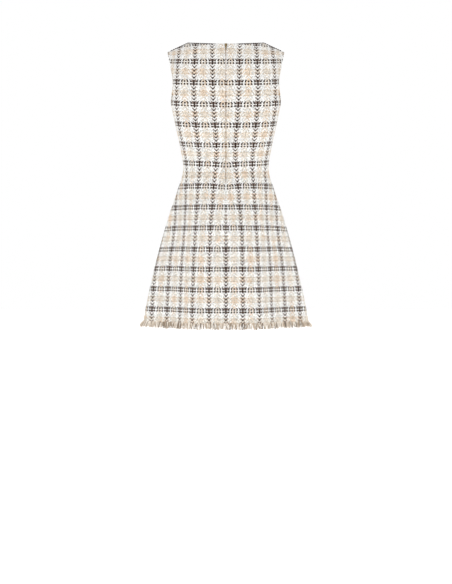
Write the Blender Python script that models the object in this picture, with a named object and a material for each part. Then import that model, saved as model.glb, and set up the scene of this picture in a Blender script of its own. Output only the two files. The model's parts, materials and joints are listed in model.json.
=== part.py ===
"""Sleeveless check tweed dress, filled out and hollow: cloth walls, centre-back zip, frayed hem.

Metres, +Z up. The front faces -Y and the wearer's left is +X. The origin lies between the
shoulders, where the wearer carries the dress. Every panel is a grid of points on the middle of
the cloth, worked out from the section tables below, and given the cloth's thickness.
"""
import math
import random

import bmesh
import bpy
import numpy as np
from mathutils import Matrix, Vector

# Cloth, seams and mesh density
WALL = 0.0020                  # thickness of the tweed
SEAM_GAP = 0.0003              # space between two neighbouring pieces
COLUMNS = 16                   # faces from the centre line to the side seam
NECK_COLUMNS = 10              # of these, the faces that end at the neck edge
COLUMN_CROWDING = 1.2          # above 1, the columns crowd towards the side seam
RINGS_PER_SECTION = 2          # rows of faces between two rows of TUBE
RISE_ROWS = 12                 # rows of faces from the underarm to the shoulder seam

# Landmarks of the cut
NECK_HALF_WIDTH = 0.119
NECK_HEIGHT = 0.014
NECK_CURVE = 0.8               # roundness of the neck edge seen from above
BACK_NECK_DROP = 0.004         # how far the back neck edge dips at its middle
FRONT_NECK_DROP = 0.014        # and how far the front one dips
SHOULDER_HALF_WIDTH = 0.183
SHOULDER_TIP_HEIGHT = -0.013
UNDERARM_HEIGHT = -0.188
SHOULDER_ROLL_POWER = 7.0      # how late the cloth rolls over the shoulder
SHOULDER_ROLL_SHARPNESS = 0.55
ARMHOLE_TURN_SHARE = 0.4       # up to here the armhole edge turns in by itself, like a lip
ARMHOLE_TURN_POWER = 30.0      # how narrow that lip is at the underarm
CORE_POWER = 8.0               # how sharply the skirt's flat middle turns into its side flutes

# The closed tube of the dress, one row for each horizontal section from the underarm to the hem.
# The shell is the round part of each half section and the core is the flat middle of the skirt;
# turn is where the core falls away, as a share of the half width. Lean moves a section in Y.
TUBE_COLUMNS = ("height", "half_width", "back_shell", "back_core", "front_shell", "front_core",
                "square", "edge", "turn", "lean")
TUBE = (
    (-0.188, 0.1690, 0.086, 0.000, 0.095, 0.000, 5.0, 0.26, 0.90, 0.000),
    (-0.245, 0.1570, 0.086, 0.000, 0.098, 0.000, 4.6, 0.29, 0.90, -0.002),
    (-0.320, 0.1412, 0.081, 0.000, 0.089, 0.000, 2.8, 0.40, 0.90, -0.009),
    (-0.383, 0.1335, 0.076, 0.000, 0.079, 0.000, 2.4, 0.50, 0.90, -0.013),
    (-0.445, 0.1510, 0.060, 0.030, 0.070, 0.012, 2.8, 0.58, 0.80, -0.010),
    (-0.520, 0.1765, 0.040, 0.066, 0.056, 0.032, 3.0, 0.60, 0.75, -0.004),
    (-0.600, 0.2000, 0.034, 0.077, 0.042, 0.052, 3.8, 0.54, 0.675, 0.000),
    (-0.700, 0.2265, 0.032, 0.083, 0.035, 0.065, 4.5, 0.52, 0.605, 0.000),
    (-0.800, 0.2485, 0.031, 0.087, 0.032, 0.072, 5.0, 0.50, 0.570, 0.000),
    (-0.864, 0.2610, 0.031, 0.089, 0.031, 0.075, 5.0, 0.50, 0.560, 0.000),
)

# Each half bodice above the underarm, one row for each share of the way up to the shoulder seam.
RISE_COLUMNS = ("share", "armhole_half_width", "armhole_depth", "middle_depth")
BACK_RISE = (
    (0.000, 0.1690, 0.000, 0.0860),
    (0.012, 0.1695, 0.014, 0.0861),
    (0.040, 0.1702, 0.026, 0.0863),
    (0.090, 0.1706, 0.035, 0.0870),
    (0.160, 0.1705, 0.042, 0.0880),
    (0.250, 0.1690, 0.048, 0.0885),
    (0.400, 0.1662, 0.053, 0.0880),
    (0.500, 0.1662, 0.052, 0.0868),
    (0.620, 0.1695, 0.047, 0.0840),
    (0.760, 0.1745, 0.037, 0.0785),
    (0.900, 0.1795, 0.023, 0.0705),
    (0.970, 0.1820, 0.011, 0.0650),
    (1.000, 0.1830, 0.000, 0.0620),
)
FRONT_RISE = (
    (0.000, 0.1690, 0.000, 0.0950),
    (0.012, 0.1695, 0.014, 0.0949),
    (0.040, 0.1698, 0.026, 0.0945),
    (0.090, 0.1693, 0.034, 0.0935),
    (0.160, 0.1682, 0.040, 0.0920),
    (0.250, 0.1662, 0.045, 0.0898),
    (0.400, 0.1632, 0.049, 0.0855),
    (0.500, 0.1630, 0.048, 0.0822),
    (0.620, 0.1658, 0.043, 0.0780),
    (0.760, 0.1718, 0.034, 0.0730),
    (0.900, 0.1785, 0.021, 0.0680),
    (0.970, 0.1815, 0.010, 0.0650),
    (1.000, 0.1830, 0.000, 0.0635),
)

# Frayed hem
STRIP_HEIGHT = 0.0025          # backing strip below the cloth's edge
STRIP_THICKNESS = 0.0014
LOCKS_PER_HALF = 36            # locks between the centre line and a side seam
LOCK_SHARE = 0.56              # share of its pitch that a lock is wide
LOCK_LENGTH = 0.0165
LOCK_TAPER = 0.6               # width at a lock's tip, as a share of its root
LOCK_LEAN = 0.0014             # most that a tip leans sideways
LOCK_SPLAY = 0.0016            # most that a tip stands out of the hem's line
LOCK_SEED = 11

# Zip
TAPE_HALF_WIDTH = 0.0110
TAPE_THICKNESS = 0.0008
TAPE_TOP_DROP = 0.003          # below the neck edge
TAPE_BOTTOM_HEIGHT = -0.424
SLIDER_HEIGHT = 0.0090
SLIDER_HALF_WIDTH = 0.0042
SLIDER_TAIL_HALF_WIDTH = 0.0030
SLIDER_CORNER = 0.0012
SLIDER_THICKNESS = 0.0022
SLIDER_DROP = 0.0049           # its middle, below the neck edge along the cloth
BRIDGE_HALF_WIDTH = 0.0008
BRIDGE_INSIDE = 0.0019         # half the bridge's inside length
BRIDGE_BAR = 0.0008
AXLE_HEIGHT = 0.0010           # the pull's axis above the slider's face
BRIDGE_SINK = 0.0006           # how far the bridge's feet run into the slider
PULL_HALF_THICKNESS = 0.0005
PULL_HALF_WIDTH = 0.0026
PULL_WINDOW_HALF_WIDTH = 0.0014
PULL_WINDOW_LENGTH = 0.0050
PULL_LENGTH = 0.0180
PULL_TIP_HALF_WIDTH = 0.0018

# Colours
TWEED_COLOUR = (0.72, 0.67, 0.60)
FRINGE_COLOUR = (0.62, 0.55, 0.46)
TAPE_COLOUR = (0.55, 0.45, 0.34)
BRASS_COLOUR = (0.62, 0.44, 0.20)


# ---------------------------------------------------------------- tables and sections

def smooth_column(table, names, key, name, at):
    """Read a named column of a table at any value of its key column, along a smooth curve."""
    rows = np.array(table)
    rows = rows[np.argsort(rows[:, names.index(key)])]
    keys = rows[:, names.index(key)]
    values = rows[:, names.index(name)]
    slopes = np.gradient(values, keys)
    here = np.clip(at, keys[0], keys[-1])
    low = np.clip(np.searchsorted(keys, here, side="right") - 1, 0, len(keys) - 2)
    span = keys[low + 1] - keys[low]
    step = (here - keys[low]) / span
    start = values[low] * (2 * step**3 - 3 * step**2 + 1)
    start_slope = slopes[low] * span * (step**3 - 2 * step**2 + step)
    end = values[low + 1] * (3 * step**2 - 2 * step**3)
    end_slope = slopes[low + 1] * span * (step**3 - step**2)
    return start + start_slope + end + end_slope


def tube_size(name, height):
    return float(smooth_column(TUBE, TUBE_COLUMNS, "height", name, height))


def half_section(height, side):
    """X, depth and share of the section's length, from its middle to the side seam."""
    share = 1 - (1 - np.linspace(0, 1, 401)) ** 2.5
    face = "back" if side > 0 else "front"
    turn = tube_size("turn", height)
    core = 1 / (1 + (share / turn) ** CORE_POWER)
    core_at_side = 1 / (1 + (1 / turn) ** CORE_POWER)
    core = (core - core_at_side) / (1 - core_at_side)
    shell = (1 - share ** tube_size("square", height)) ** tube_size("edge", height)
    x = tube_size("half_width", height) * share
    depth = tube_size(face + "_core", height) * core + tube_size(face + "_shell", height) * shell
    length = np.concatenate([[0], np.cumsum(np.hypot(np.diff(x), np.diff(depth)))])
    return x, depth, length / length[-1]


def column_shares():
    """Share of the section's length at each column of points, 0 at the middle."""
    steps = np.linspace(0, 1, COLUMNS + 1)
    return 1 - (1 - steps) ** COLUMN_CROWDING


def tube_row(height, side):
    """Points of one section from its middle to the wearer's left side seam."""
    x, depth, length = half_section(height, side)
    shares = column_shares()
    row = np.zeros((COLUMNS + 1, 3))
    row[:, 0] = np.interp(shares, length, x)
    row[:, 1] = side * np.interp(shares, length, depth) + tube_size("lean", height)
    row[:, 2] = height
    return row


def tube_heights():
    """Heights of the tube's rows, hem first."""
    sections = sorted(row[0] for row in TUBE)
    heights = []
    for low, high in zip(sections, sections[1:]):
        heights += list(np.linspace(low, high, RINGS_PER_SECTION, endpoint=False))
    return heights + [sections[-1]]


def top_edge(side):
    """X, depth and height of the panel's top edge: half the neck, then the shoulder seam."""
    steps = np.arange(COLUMNS + 1)
    neck = np.clip(steps / NECK_COLUMNS, 0, 1)
    shoulder = np.clip((steps - NECK_COLUMNS) / (COLUMNS - NECK_COLUMNS), 0, 1)
    rise = BACK_RISE if side > 0 else FRONT_RISE
    middle_depth = rise[-1][RISE_COLUMNS.index("middle_depth")]
    x = NECK_HALF_WIDTH * neck + (SHOULDER_HALF_WIDTH - NECK_HALF_WIDTH) * shoulder
    depth = middle_depth * (1 - neck**2) ** NECK_CURVE
    drop = BACK_NECK_DROP if side > 0 else FRONT_NECK_DROP
    height = NECK_HEIGHT - drop * (1 - neck**2) + (SHOULDER_TIP_HEIGHT - NECK_HEIGHT) * shoulder
    return x, depth, height


def rise_row(share, side):
    """Points of one row between the underarm (share 0) and the top edge (share 1)."""
    rise = BACK_RISE if side > 0 else FRONT_RISE
    half_width = smooth_column(rise, RISE_COLUMNS, "share", "armhole_half_width", share)
    edge_depth = smooth_column(rise, RISE_COLUMNS, "share", "armhole_depth", share)
    middle_depth = smooth_column(rise, RISE_COLUMNS, "share", "middle_depth", share)
    foot = tube_row(UNDERARM_HEIGHT, side)
    foot_width = foot[:, 0] / foot[-1, 0]
    foot_depth = foot[:, 1] / foot[0, 1]
    top_x, top_depth, top_height = top_edge(side)
    spread = share**2 * (3 - 2 * share)
    roll = 1 - (1 - share**SHOULDER_ROLL_POWER) ** SHOULDER_ROLL_SHARPNESS
    width = foot_width * (1 - spread) + top_x / top_x[-1] * spread
    depth = foot_depth * (1 - roll) + top_depth / top_depth[0] * roll
    narrow = ARMHOLE_TURN_POWER * max(0.0, 1 - share / ARMHOLE_TURN_SHARE) ** 2
    lip = column_shares() ** narrow
    row = np.zeros((COLUMNS + 1, 3))
    row[:, 0] = half_width * width
    row[:, 1] = side * (middle_depth * depth + edge_depth * (1 - depth) * lip)
    row[:, 2] = UNDERARM_HEIGHT + (top_height - UNDERARM_HEIGHT) * share
    return row


def panel_grid(side):
    """Middle of the cloth of the whole back (side 1) or front (side -1), hem row first.

    Columns run from the wearer's right side seam to the left one.
    """
    rows = [tube_row(height, side) for height in tube_heights()]
    for step in range(1, RISE_ROWS + 1):
        rows.append(rise_row(0.5 - 0.5 * math.cos(math.pi * step / RISE_ROWS), side))
    left = np.array(rows)
    right = left[:, :0:-1] * np.array([-1, 1, 1])
    return np.concatenate([right, left], axis=1)


def underarm_row():
    return len(tube_heights()) - 1


def unit(vectors):
    return vectors / np.linalg.norm(vectors, axis=-1, keepdims=True)


def outward(grid, side):
    """Unit normals of a grid, pointing away from the wearer."""
    across = np.gradient(grid, axis=1)
    up = np.gradient(grid, axis=0)
    return unit(np.cross(up, across) * side)


def cloth_grids():
    """Grids and normals of the back and the front, whose shared seams have shared normals."""
    back = panel_grid(1)
    front = panel_grid(-1)
    back_normals = outward(back, 1)
    front_normals = outward(front, -1)
    tube = slice(0, underarm_row() + 1)
    for side_seam in (0, -1):
        shared = unit(back_normals[tube, side_seam] + front_normals[tube, side_seam])
        back_normals[tube, side_seam] = shared
        front_normals[tube, side_seam] = shared
    shoulder = COLUMNS - NECK_COLUMNS + 1
    for columns in (slice(0, shoulder), slice(-shoulder, None)):
        shared = unit(back_normals[-1, columns] + front_normals[-1, columns])
        back_normals[-1, columns] = shared
        front_normals[-1, columns] = shared
    return {"back": (back, back_normals), "front": (front, front_normals)}


def drawn_in(edge, inner):
    """Points of an edge moved half a seam gap towards the next points in."""
    return edge + unit(inner - edge) * SEAM_GAP / 2


def draw_in_seams(grid, centre_seam):
    """Leave half a gap along the side, shoulder and centre seams of a panel."""
    seamed = grid.copy()
    tube = slice(0, underarm_row() + 1)
    shoulder = COLUMNS - NECK_COLUMNS + 1
    if centre_seam != "left":
        seamed[tube, 0] = drawn_in(grid[tube, 0], grid[tube, 1])
        seamed[-1, :shoulder] = drawn_in(grid[-1, :shoulder], grid[-2, :shoulder])
    if centre_seam != "right":
        seamed[tube, -1] = drawn_in(grid[tube, -1], grid[tube, -2])
        seamed[-1, -shoulder:] = drawn_in(grid[-1, -shoulder:], grid[-2, -shoulder:])
    if centre_seam == "left":
        seamed[:, 0, 0] = SEAM_GAP / 2
    if centre_seam == "right":
        seamed[:, -1, 0] = -SEAM_GAP / 2
    return seamed


def cloth_panels():
    """Grid and normals of each panel, with the gaps at its seams."""
    grids = cloth_grids()
    back, back_normals = grids["back"]
    front, front_normals = grids["front"]
    middle = COLUMNS
    return {
        "front": (draw_in_seams(front, "none"), front_normals),
        "back_left": (draw_in_seams(back[:, middle:], "left"), back_normals[:, middle:]),
        "back_right": (draw_in_seams(back[:, :middle + 1], "right"), back_normals[:, :middle + 1]),
    }


# ---------------------------------------------------------------- Blender objects

def clear_scene():
    for item in list(bpy.data.objects):
        bpy.data.objects.remove(item, do_unlink=True)


def principled(name, colour, roughness, metallic=0.0):
    material = bpy.data.materials.new(name)
    material.use_nodes = True
    shader = material.node_tree.nodes["Principled BSDF"]
    shader.inputs["Base Color"].default_value = (*colour, 1)
    shader.inputs["Roughness"].default_value = roughness
    shader.inputs["Metallic"].default_value = metallic
    material.diffuse_color = (*colour, 1)
    return material


def link(name, mesh, material):
    item = bpy.data.objects.new(name, mesh)
    item.data.materials.append(material)
    bpy.context.collection.objects.link(item)
    return item


def face_out(work):
    """Turn a closed mesh right side out."""
    bmesh.ops.recalc_face_normals(work, faces=work.faces)
    if work.calc_volume(signed=True) < 0:
        bmesh.ops.reverse_faces(work, faces=work.faces)


def to_mesh(name, work):
    face_out(work)
    mesh = bpy.data.meshes.new(name)
    work.to_mesh(mesh)
    work.free()
    return mesh


def wall_mesh(name, outer, inner):
    """Closed wall between two grids of points."""
    work = bmesh.new()
    outside = [[work.verts.new(point) for point in row] for row in outer]
    inside = [[work.verts.new(point) for point in row] for row in inner]
    rows = len(outside)
    columns = len(outside[0])
    for r in range(rows - 1):
        for c in range(columns - 1):
            work.faces.new((outside[r][c], outside[r][c + 1],
                            outside[r + 1][c + 1], outside[r + 1][c]))
            work.faces.new((inside[r][c], inside[r + 1][c],
                            inside[r + 1][c + 1], inside[r][c + 1]))
    rim = [(r, 0) for r in range(rows)]
    rim += [(rows - 1, c) for c in range(1, columns)]
    rim += [(r, columns - 1) for r in range(rows - 2, -1, -1)]
    rim += [(0, c) for c in range(columns - 2, 0, -1)]
    for (r, c), (r2, c2) in zip(rim, rim[1:] + rim[:1]):
        work.faces.new((outside[r][c], outside[r2][c2], inside[r2][c2], inside[r][c]))
    return to_mesh(name, work)


def make_panel(name, panel, material):
    grid, normals = panel
    mesh = wall_mesh(name, grid + normals * WALL / 2, grid - normals * WALL / 2)
    item = link(name, mesh, material)
    mesh.shade_smooth()
    mesh.set_sharp_from_angle(angle=math.radians(50))
    return item


# ---------------------------------------------------------------- frayed hem

def hem_line(panel):
    """Points, normals, hanging direction and running length along a panel's hem edge."""
    grid, normals = panel
    hang = unit(grid[0] - grid[1])
    length = np.concatenate([[0], np.cumsum(np.linalg.norm(np.diff(grid[0], axis=0), axis=1))])
    return grid[0], normals[0], hang, length


def at_length(values, length, where):
    return np.array([np.interp(where, length, values[:, axis]) for axis in range(3)])


def lock_shape(index, count):
    """Length, lean and splay of a lock, the same on the wearer's left and right."""
    from_middle = min(index, count - 1 - index) if count > LOCKS_PER_HALF else index
    draw = random.Random(LOCK_SEED + 7 * from_middle)
    length = LOCK_LENGTH * draw.uniform(0.82, 1.0)
    lean = LOCK_LEAN * draw.uniform(-1, 1)
    splay = LOCK_SPLAY * draw.uniform(-0.4, 1)
    return length, lean, splay


def make_fringe(name, panel, locks, turned, material):
    """Backing strip under a panel's hem, with a four-sided lock on each pitch."""
    points, normals, hang, length = hem_line(panel)
    pitch = length[-1] / locks
    work = bmesh.new()

    def directions(where):
        return unit(at_length(normals, length, where)), unit(at_length(hang, length, where))

    def station(where):
        centre = at_length(points, length, where)
        normal, down = directions(where)
        corners = []
        for drop in (SEAM_GAP, SEAM_GAP + STRIP_HEIGHT):
            for offset in (STRIP_THICKNESS / 2, -STRIP_THICKNESS / 2):
                corners.append(work.verts.new(centre + down * drop + normal * offset))
        return corners

    def strip_piece(first, second, with_bottom):
        top_out, top_in, low_out, low_in = first
        top_out2, top_in2, low_out2, low_in2 = second
        work.faces.new((top_out, low_out, low_out2, top_out2))
        work.faces.new((top_in, top_in2, low_in2, low_in))
        work.faces.new((top_out, top_out2, top_in2, top_in))
        if with_bottom:
            work.faces.new((low_out, low_in, low_in2, low_out2))

    def lock(first, second, middle_length, shape):
        lock_length, lean, splay = shape
        normal, down = directions(middle_length)
        root = [first[2], second[2], second[3], first[3]]
        middle = sum((np.array(corner.co) for corner in root), np.zeros(3)) / 4
        along = unit(np.array(second[2].co) - np.array(first[2].co))
        move = down * lock_length + along * lean + normal * splay
        tip = [work.verts.new(middle + (np.array(corner.co) - middle) * LOCK_TAPER + move)
               for corner in root]
        for c in range(4):
            work.faces.new((root[c], tip[c], tip[(c + 1) % 4], root[(c + 1) % 4]))
        work.faces.new(tip)

    last = station(0.0)
    work.faces.new((last[0], last[1], last[3], last[2]))
    for index in range(locks):
        middle_length = pitch * (index + 0.5)
        first = station(middle_length - pitch * LOCK_SHARE / 2)
        second = station(middle_length + pitch * LOCK_SHARE / 2)
        strip_piece(last, first, True)
        strip_piece(first, second, False)
        lock_index = locks - 1 - index if turned else index
        lock_length, lean, splay = lock_shape(lock_index, locks)
        mirrored = turned or (locks > LOCKS_PER_HALF and index >= locks / 2)
        lock(first, second, middle_length, (lock_length, -lean if mirrored else lean, splay))
        last = second
    end = station(length[-1])
    strip_piece(last, end, True)
    work.faces.new((end[0], end[2], end[3], end[1]))
    return link(name, to_mesh(name, work), material)


# ---------------------------------------------------------------- zip

def centre_back_strip(panels, half_width, offset):
    """Rows of points behind the centre-back seam: right edge, centre, left edge, hem row first."""
    rows = []
    left, left_normals = panels["back_left"]
    inner = left - left_normals * WALL / 2
    for r in range(len(left)):
        reach = half_width / inner[r, 1, 0]
        centre = inner[r, 0] * np.array([0, 1, 1]) - left_normals[r, 0] * offset
        edge = inner[r, 0] + (inner[r, 1] - inner[r, 0]) * reach - left_normals[r, 0] * offset
        rows.append([edge * np.array([-1, 1, 1]), centre, edge])
    return np.array(rows)


def cut_rows(rows, low, high):
    """Keep the rows whose centre lies between two heights, with new rows at the cuts."""
    heights = rows[:, 1, 2]
    kept = [height for height in heights if low < height < high]
    cut = []
    for height in [low] + kept + [high]:
        flat = rows.reshape(len(rows), -1)
        cut.append([np.interp(height, heights, flat[:, k]) for k in range(flat.shape[1])])
    return np.array(cut).reshape(len(cut), rows.shape[1], 3)


def make_tape(panels, material):
    outer = centre_back_strip(panels, TAPE_HALF_WIDTH, SEAM_GAP)
    inner = centre_back_strip(panels, TAPE_HALF_WIDTH, SEAM_GAP + TAPE_THICKNESS)
    top = outer[-1, 1, 2] - TAPE_TOP_DROP
    mesh = wall_mesh("zip_tape", cut_rows(outer, TAPE_BOTTOM_HEIGHT, top),
                     cut_rows(inner, TAPE_BOTTOM_HEIGHT, top))
    return link("zip_tape", mesh, material)


def slider_frame(panels):
    """Place of the slider: a matrix whose Y runs up the cloth and whose Z stands out of it."""
    grid, normals = panels["back_left"]
    outer = grid + normals * WALL / 2
    profile = outer[:, 0, 1:]
    climb = np.concatenate([[0], np.cumsum(np.linalg.norm(np.diff(profile, axis=0), axis=1))])
    middle = climb[-1] - SLIDER_DROP

    def on_cloth(where):
        return np.array([np.interp(where, climb, profile[:, axis]) for axis in range(2)])

    top = on_cloth(middle + SLIDER_HEIGHT / 2)
    bottom = on_cloth(middle - SLIDER_HEIGHT / 2)
    up = unit(top - bottom)
    out = np.array([up[1], -up[0]])
    centre = (top + bottom) / 2
    around = np.linspace(middle - SLIDER_HEIGHT, climb[-1], 25)
    proud = max(float(np.dot(on_cloth(where) - centre, out)) for where in around)
    centre = centre + out * (proud + SEAM_GAP)
    return Matrix(((-1, 0, 0, 0), (0, up[0], out[0], centre[0]),
                   (0, up[1], out[1], centre[1]), (0, 0, 0, 1)))


def prism(work, outline, low, high):
    """Close a flat outline, given as X and Y pairs, between two levels of Z."""
    bottom = [work.verts.new((x, y, low)) for x, y in outline]
    top = [work.verts.new((x, y, high)) for x, y in outline]
    work.faces.new(bottom[::-1])
    work.faces.new(top)
    for c in range(len(outline)):
        d = (c + 1) % len(outline)
        work.faces.new((bottom[c], bottom[d], top[d], top[c]))


def slider_outline():
    top = SLIDER_HEIGHT / 2
    shoulder = SLIDER_HALF_WIDTH
    tail = SLIDER_TAIL_HALF_WIDTH
    corner = SLIDER_CORNER
    right = [(shoulder - corner, top), (shoulder, top - corner), (shoulder, top * 0.2),
             (tail, -top + corner), (tail - corner, -top)]
    return right + [(-x, y) for x, y in reversed(right)]


def bridge_outline():
    """Side view of the arch over the slider's face: X is along the slider, Y is height."""
    outer = BRIDGE_INSIDE + BRIDGE_BAR
    ceiling = 2 * AXLE_HEIGHT
    roof = ceiling + BRIDGE_BAR
    bevel = BRIDGE_BAR / 2
    return [(-outer, -BRIDGE_SINK), (-outer, roof - bevel), (-outer + bevel, roof),
            (outer - bevel, roof), (outer, roof - bevel), (outer, -BRIDGE_SINK),
            (BRIDGE_INSIDE, -BRIDGE_SINK), (BRIDGE_INSIDE, ceiling),
            (-BRIDGE_INSIDE, ceiling), (-BRIDGE_INSIDE, -BRIDGE_SINK)]


def make_slider(frame, material):
    """Slider's body with its bridge, joined into one piece."""
    body = bmesh.new()
    prism(body, slider_outline(), 0, SLIDER_THICKNESS)
    slider = link("zip_slider", to_mesh("zip_slider", body), material)
    arch = bmesh.new()
    prism(arch, bridge_outline(), -BRIDGE_HALF_WIDTH, BRIDGE_HALF_WIDTH)
    bmesh.ops.rotate(arch, verts=arch.verts, cent=(0, 0, 0),
                     matrix=Matrix(((0, 0, 1), (1, 0, 0), (0, 1, 0))))
    bmesh.ops.translate(arch, verts=arch.verts, vec=(0, 0, SLIDER_THICKNESS))
    bridge = link("bridge_guide", to_mesh("bridge_guide", arch), material)
    bridge.hide_render = True
    bridge.display_type = "WIRE"
    union = slider.modifiers.new("bridge", "BOOLEAN")
    union.operation = "UNION"
    union.solver = "EXACT"
    union.object = bridge
    slider.matrix_world = frame
    bridge.matrix_world = frame
    return slider


def make_pull(frame, material):
    """Flat pull tab whose top bar passes under the bridge; its origin is on that bar's axis."""
    work = bmesh.new()
    bar = PULL_HALF_THICKNESS
    window_end = -PULL_WINDOW_LENGTH
    outer = [(PULL_HALF_WIDTH, bar), (PULL_HALF_WIDTH, window_end),
             (PULL_HALF_WIDTH * 0.8, window_end - 0.002),
             (PULL_TIP_HALF_WIDTH, -PULL_LENGTH + 0.001),
             (PULL_TIP_HALF_WIDTH * 0.5, -PULL_LENGTH)]
    outer = outer + [(-x, y) for x, y in reversed(outer)]
    prism(work, outer, -bar, bar)
    pull = link("zip_pull", to_mesh("zip_pull", work), material)
    cutter_work = bmesh.new()
    window = [(PULL_WINDOW_HALF_WIDTH, -bar), (PULL_WINDOW_HALF_WIDTH, window_end),
              (-PULL_WINDOW_HALF_WIDTH, window_end), (-PULL_WINDOW_HALF_WIDTH, -bar)]
    prism(cutter_work, window, -3 * bar, 3 * bar)
    cutter = link("window_cutter", to_mesh("window_cutter", cutter_work), material)
    cutter.hide_render = True
    cutter.display_type = "WIRE"
    cut = pull.modifiers.new("window", "BOOLEAN")
    cut.operation = "DIFFERENCE"
    cut.solver = "EXACT"
    cut.object = cutter
    place = frame @ Matrix.Translation(Vector((0, 0, SLIDER_THICKNESS + AXLE_HEIGHT)))
    pull.matrix_world = place
    cutter.matrix_world = place
    return pull


# ---------------------------------------------------------------- the dress

def build_dress():
    clear_scene()
    tweed = principled("tweed", TWEED_COLOUR, 0.95)
    yarn = principled("fringe_yarn", FRINGE_COLOUR, 0.95)
    tape = principled("zip_tape", TAPE_COLOUR, 0.8)
    brass = principled("gold_metal", BRASS_COLOUR, 0.3, 1.0)
    panels = cloth_panels()
    for name, panel in panels.items():
        make_panel(name, panel, tweed)
    make_fringe("fringe_front", panels["front"], 2 * LOCKS_PER_HALF, False, yarn)
    make_fringe("fringe_back_left", panels["back_left"], LOCKS_PER_HALF, False, yarn)
    make_fringe("fringe_back_right", panels["back_right"], LOCKS_PER_HALF, True, yarn)
    make_tape(panels, tape)
    frame = slider_frame(panels)
    make_slider(frame, brass)
    make_pull(frame, brass)


build_dress()
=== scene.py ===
"""Looks of the sleeveless check tweed dress: cloth, frayed hem, zip, studio and camera.

Metres, +Z up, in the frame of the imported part: the front faces -Y, the back faces +Y and the
wearer's left is +X. Each panel is a fine grid on the same named sections as its solid, with soft
folds, rolled edges and a weave map that counts the repeats of the check.
"""
import json
import math

import bmesh
import bpy
import numpy as np
from mathutils import Matrix, Vector


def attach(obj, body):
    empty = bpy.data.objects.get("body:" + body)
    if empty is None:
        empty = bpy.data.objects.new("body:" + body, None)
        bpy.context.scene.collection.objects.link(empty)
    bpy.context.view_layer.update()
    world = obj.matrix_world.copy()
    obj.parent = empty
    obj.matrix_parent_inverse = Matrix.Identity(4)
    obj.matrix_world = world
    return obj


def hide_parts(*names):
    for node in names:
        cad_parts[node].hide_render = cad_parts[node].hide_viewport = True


bl_info = {
    "name": "Check Tweed Dress",
    "version": (1, 0, 0),
    "blender": (4, 5, 0),
    "location": "View3D > Sidebar > Dress",
    "description": "Tweed panels, frayed hem and zip of a sleeveless dress around its packed part",
    "category": "Object",
}

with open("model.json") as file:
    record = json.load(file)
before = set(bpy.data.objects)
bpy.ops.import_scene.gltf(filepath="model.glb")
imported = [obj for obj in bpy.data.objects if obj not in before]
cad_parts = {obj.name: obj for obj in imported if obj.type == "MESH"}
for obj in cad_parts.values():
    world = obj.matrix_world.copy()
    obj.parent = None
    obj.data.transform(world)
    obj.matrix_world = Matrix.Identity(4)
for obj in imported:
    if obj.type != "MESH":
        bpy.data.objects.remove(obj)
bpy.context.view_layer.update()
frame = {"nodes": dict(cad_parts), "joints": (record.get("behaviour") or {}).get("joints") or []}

# Cloth, seams and mesh density
WALL = 0.0020                  # thickness of the tweed
SEAM_GAP = 0.0003              # space between two neighbouring panels
EDGE_ROLL = 0.0009             # how far a panel's edge rounds over
RIM_ANGLES = (45, 0, -45)      # rows of points around that edge, in degrees
HALF_COLUMNS = 64              # faces from the centre line to the side seam
NECK_SHARE = 0.625             # share of those columns that ends at the neck edge
COLUMN_CROWDING = 1.2          # above 1, the columns crowd towards the side seam
TUBE_ROWS = 120                # rows of faces from the hem to the underarm
RISE_ROWS = 48                 # rows of faces from the underarm to the shoulder seam
WARP_ROW = TUBE_ROWS + RISE_ROWS // 3     # above this row of points the warp runs straight up
SECTION_STEPS = 401            # points that measure the length of a section
SECTION_CROWDING = 2.5         # above 1, those points crowd towards the side seam

# Rows of points that end at the side seam, and columns that end at the shoulder seam
TUBE_PART = slice(0, TUBE_ROWS + 1)
SHOULDER_PART = slice(round(HALF_COLUMNS * NECK_SHARE), None)

# Factors that lay a point on the centre line, and that mirror it to the wearer's right
ON_CENTRE = np.array([0, 1, 1])
TO_THE_RIGHT = np.array([-1, 1, 1])

# Landmarks of the cut
NECK_HALF_WIDTH = 0.119
NECK_HEIGHT = 0.014
NECK_CURVE = 0.8               # power of the neck edge's curve, seen from above
BACK_NECK_DROP = 0.004
FRONT_NECK_DROP = 0.014
SHOULDER_HALF_WIDTH = 0.183
SHOULDER_TIP_HEIGHT = -0.015
UNDERARM_HEIGHT = -0.188
HEM_HEIGHT = -0.859
SHOULDER_ROLL_POWER = 7.0      # the higher, the later a panel rolls over to the shoulder seam
SHOULDER_ROLL_SHARPNESS = 0.55 # below 1, the roll is sharpest just before the seam
ARMHOLE_TURN_SHARE = 0.4       # below this share of its rise, the armhole's edge turns in first
ARMHOLE_TURN_POWER = 30.0      # how narrow that turn is at the underarm
CORE_POWER = 6.5               # how sharply a section's core falls away at its turn

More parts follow.
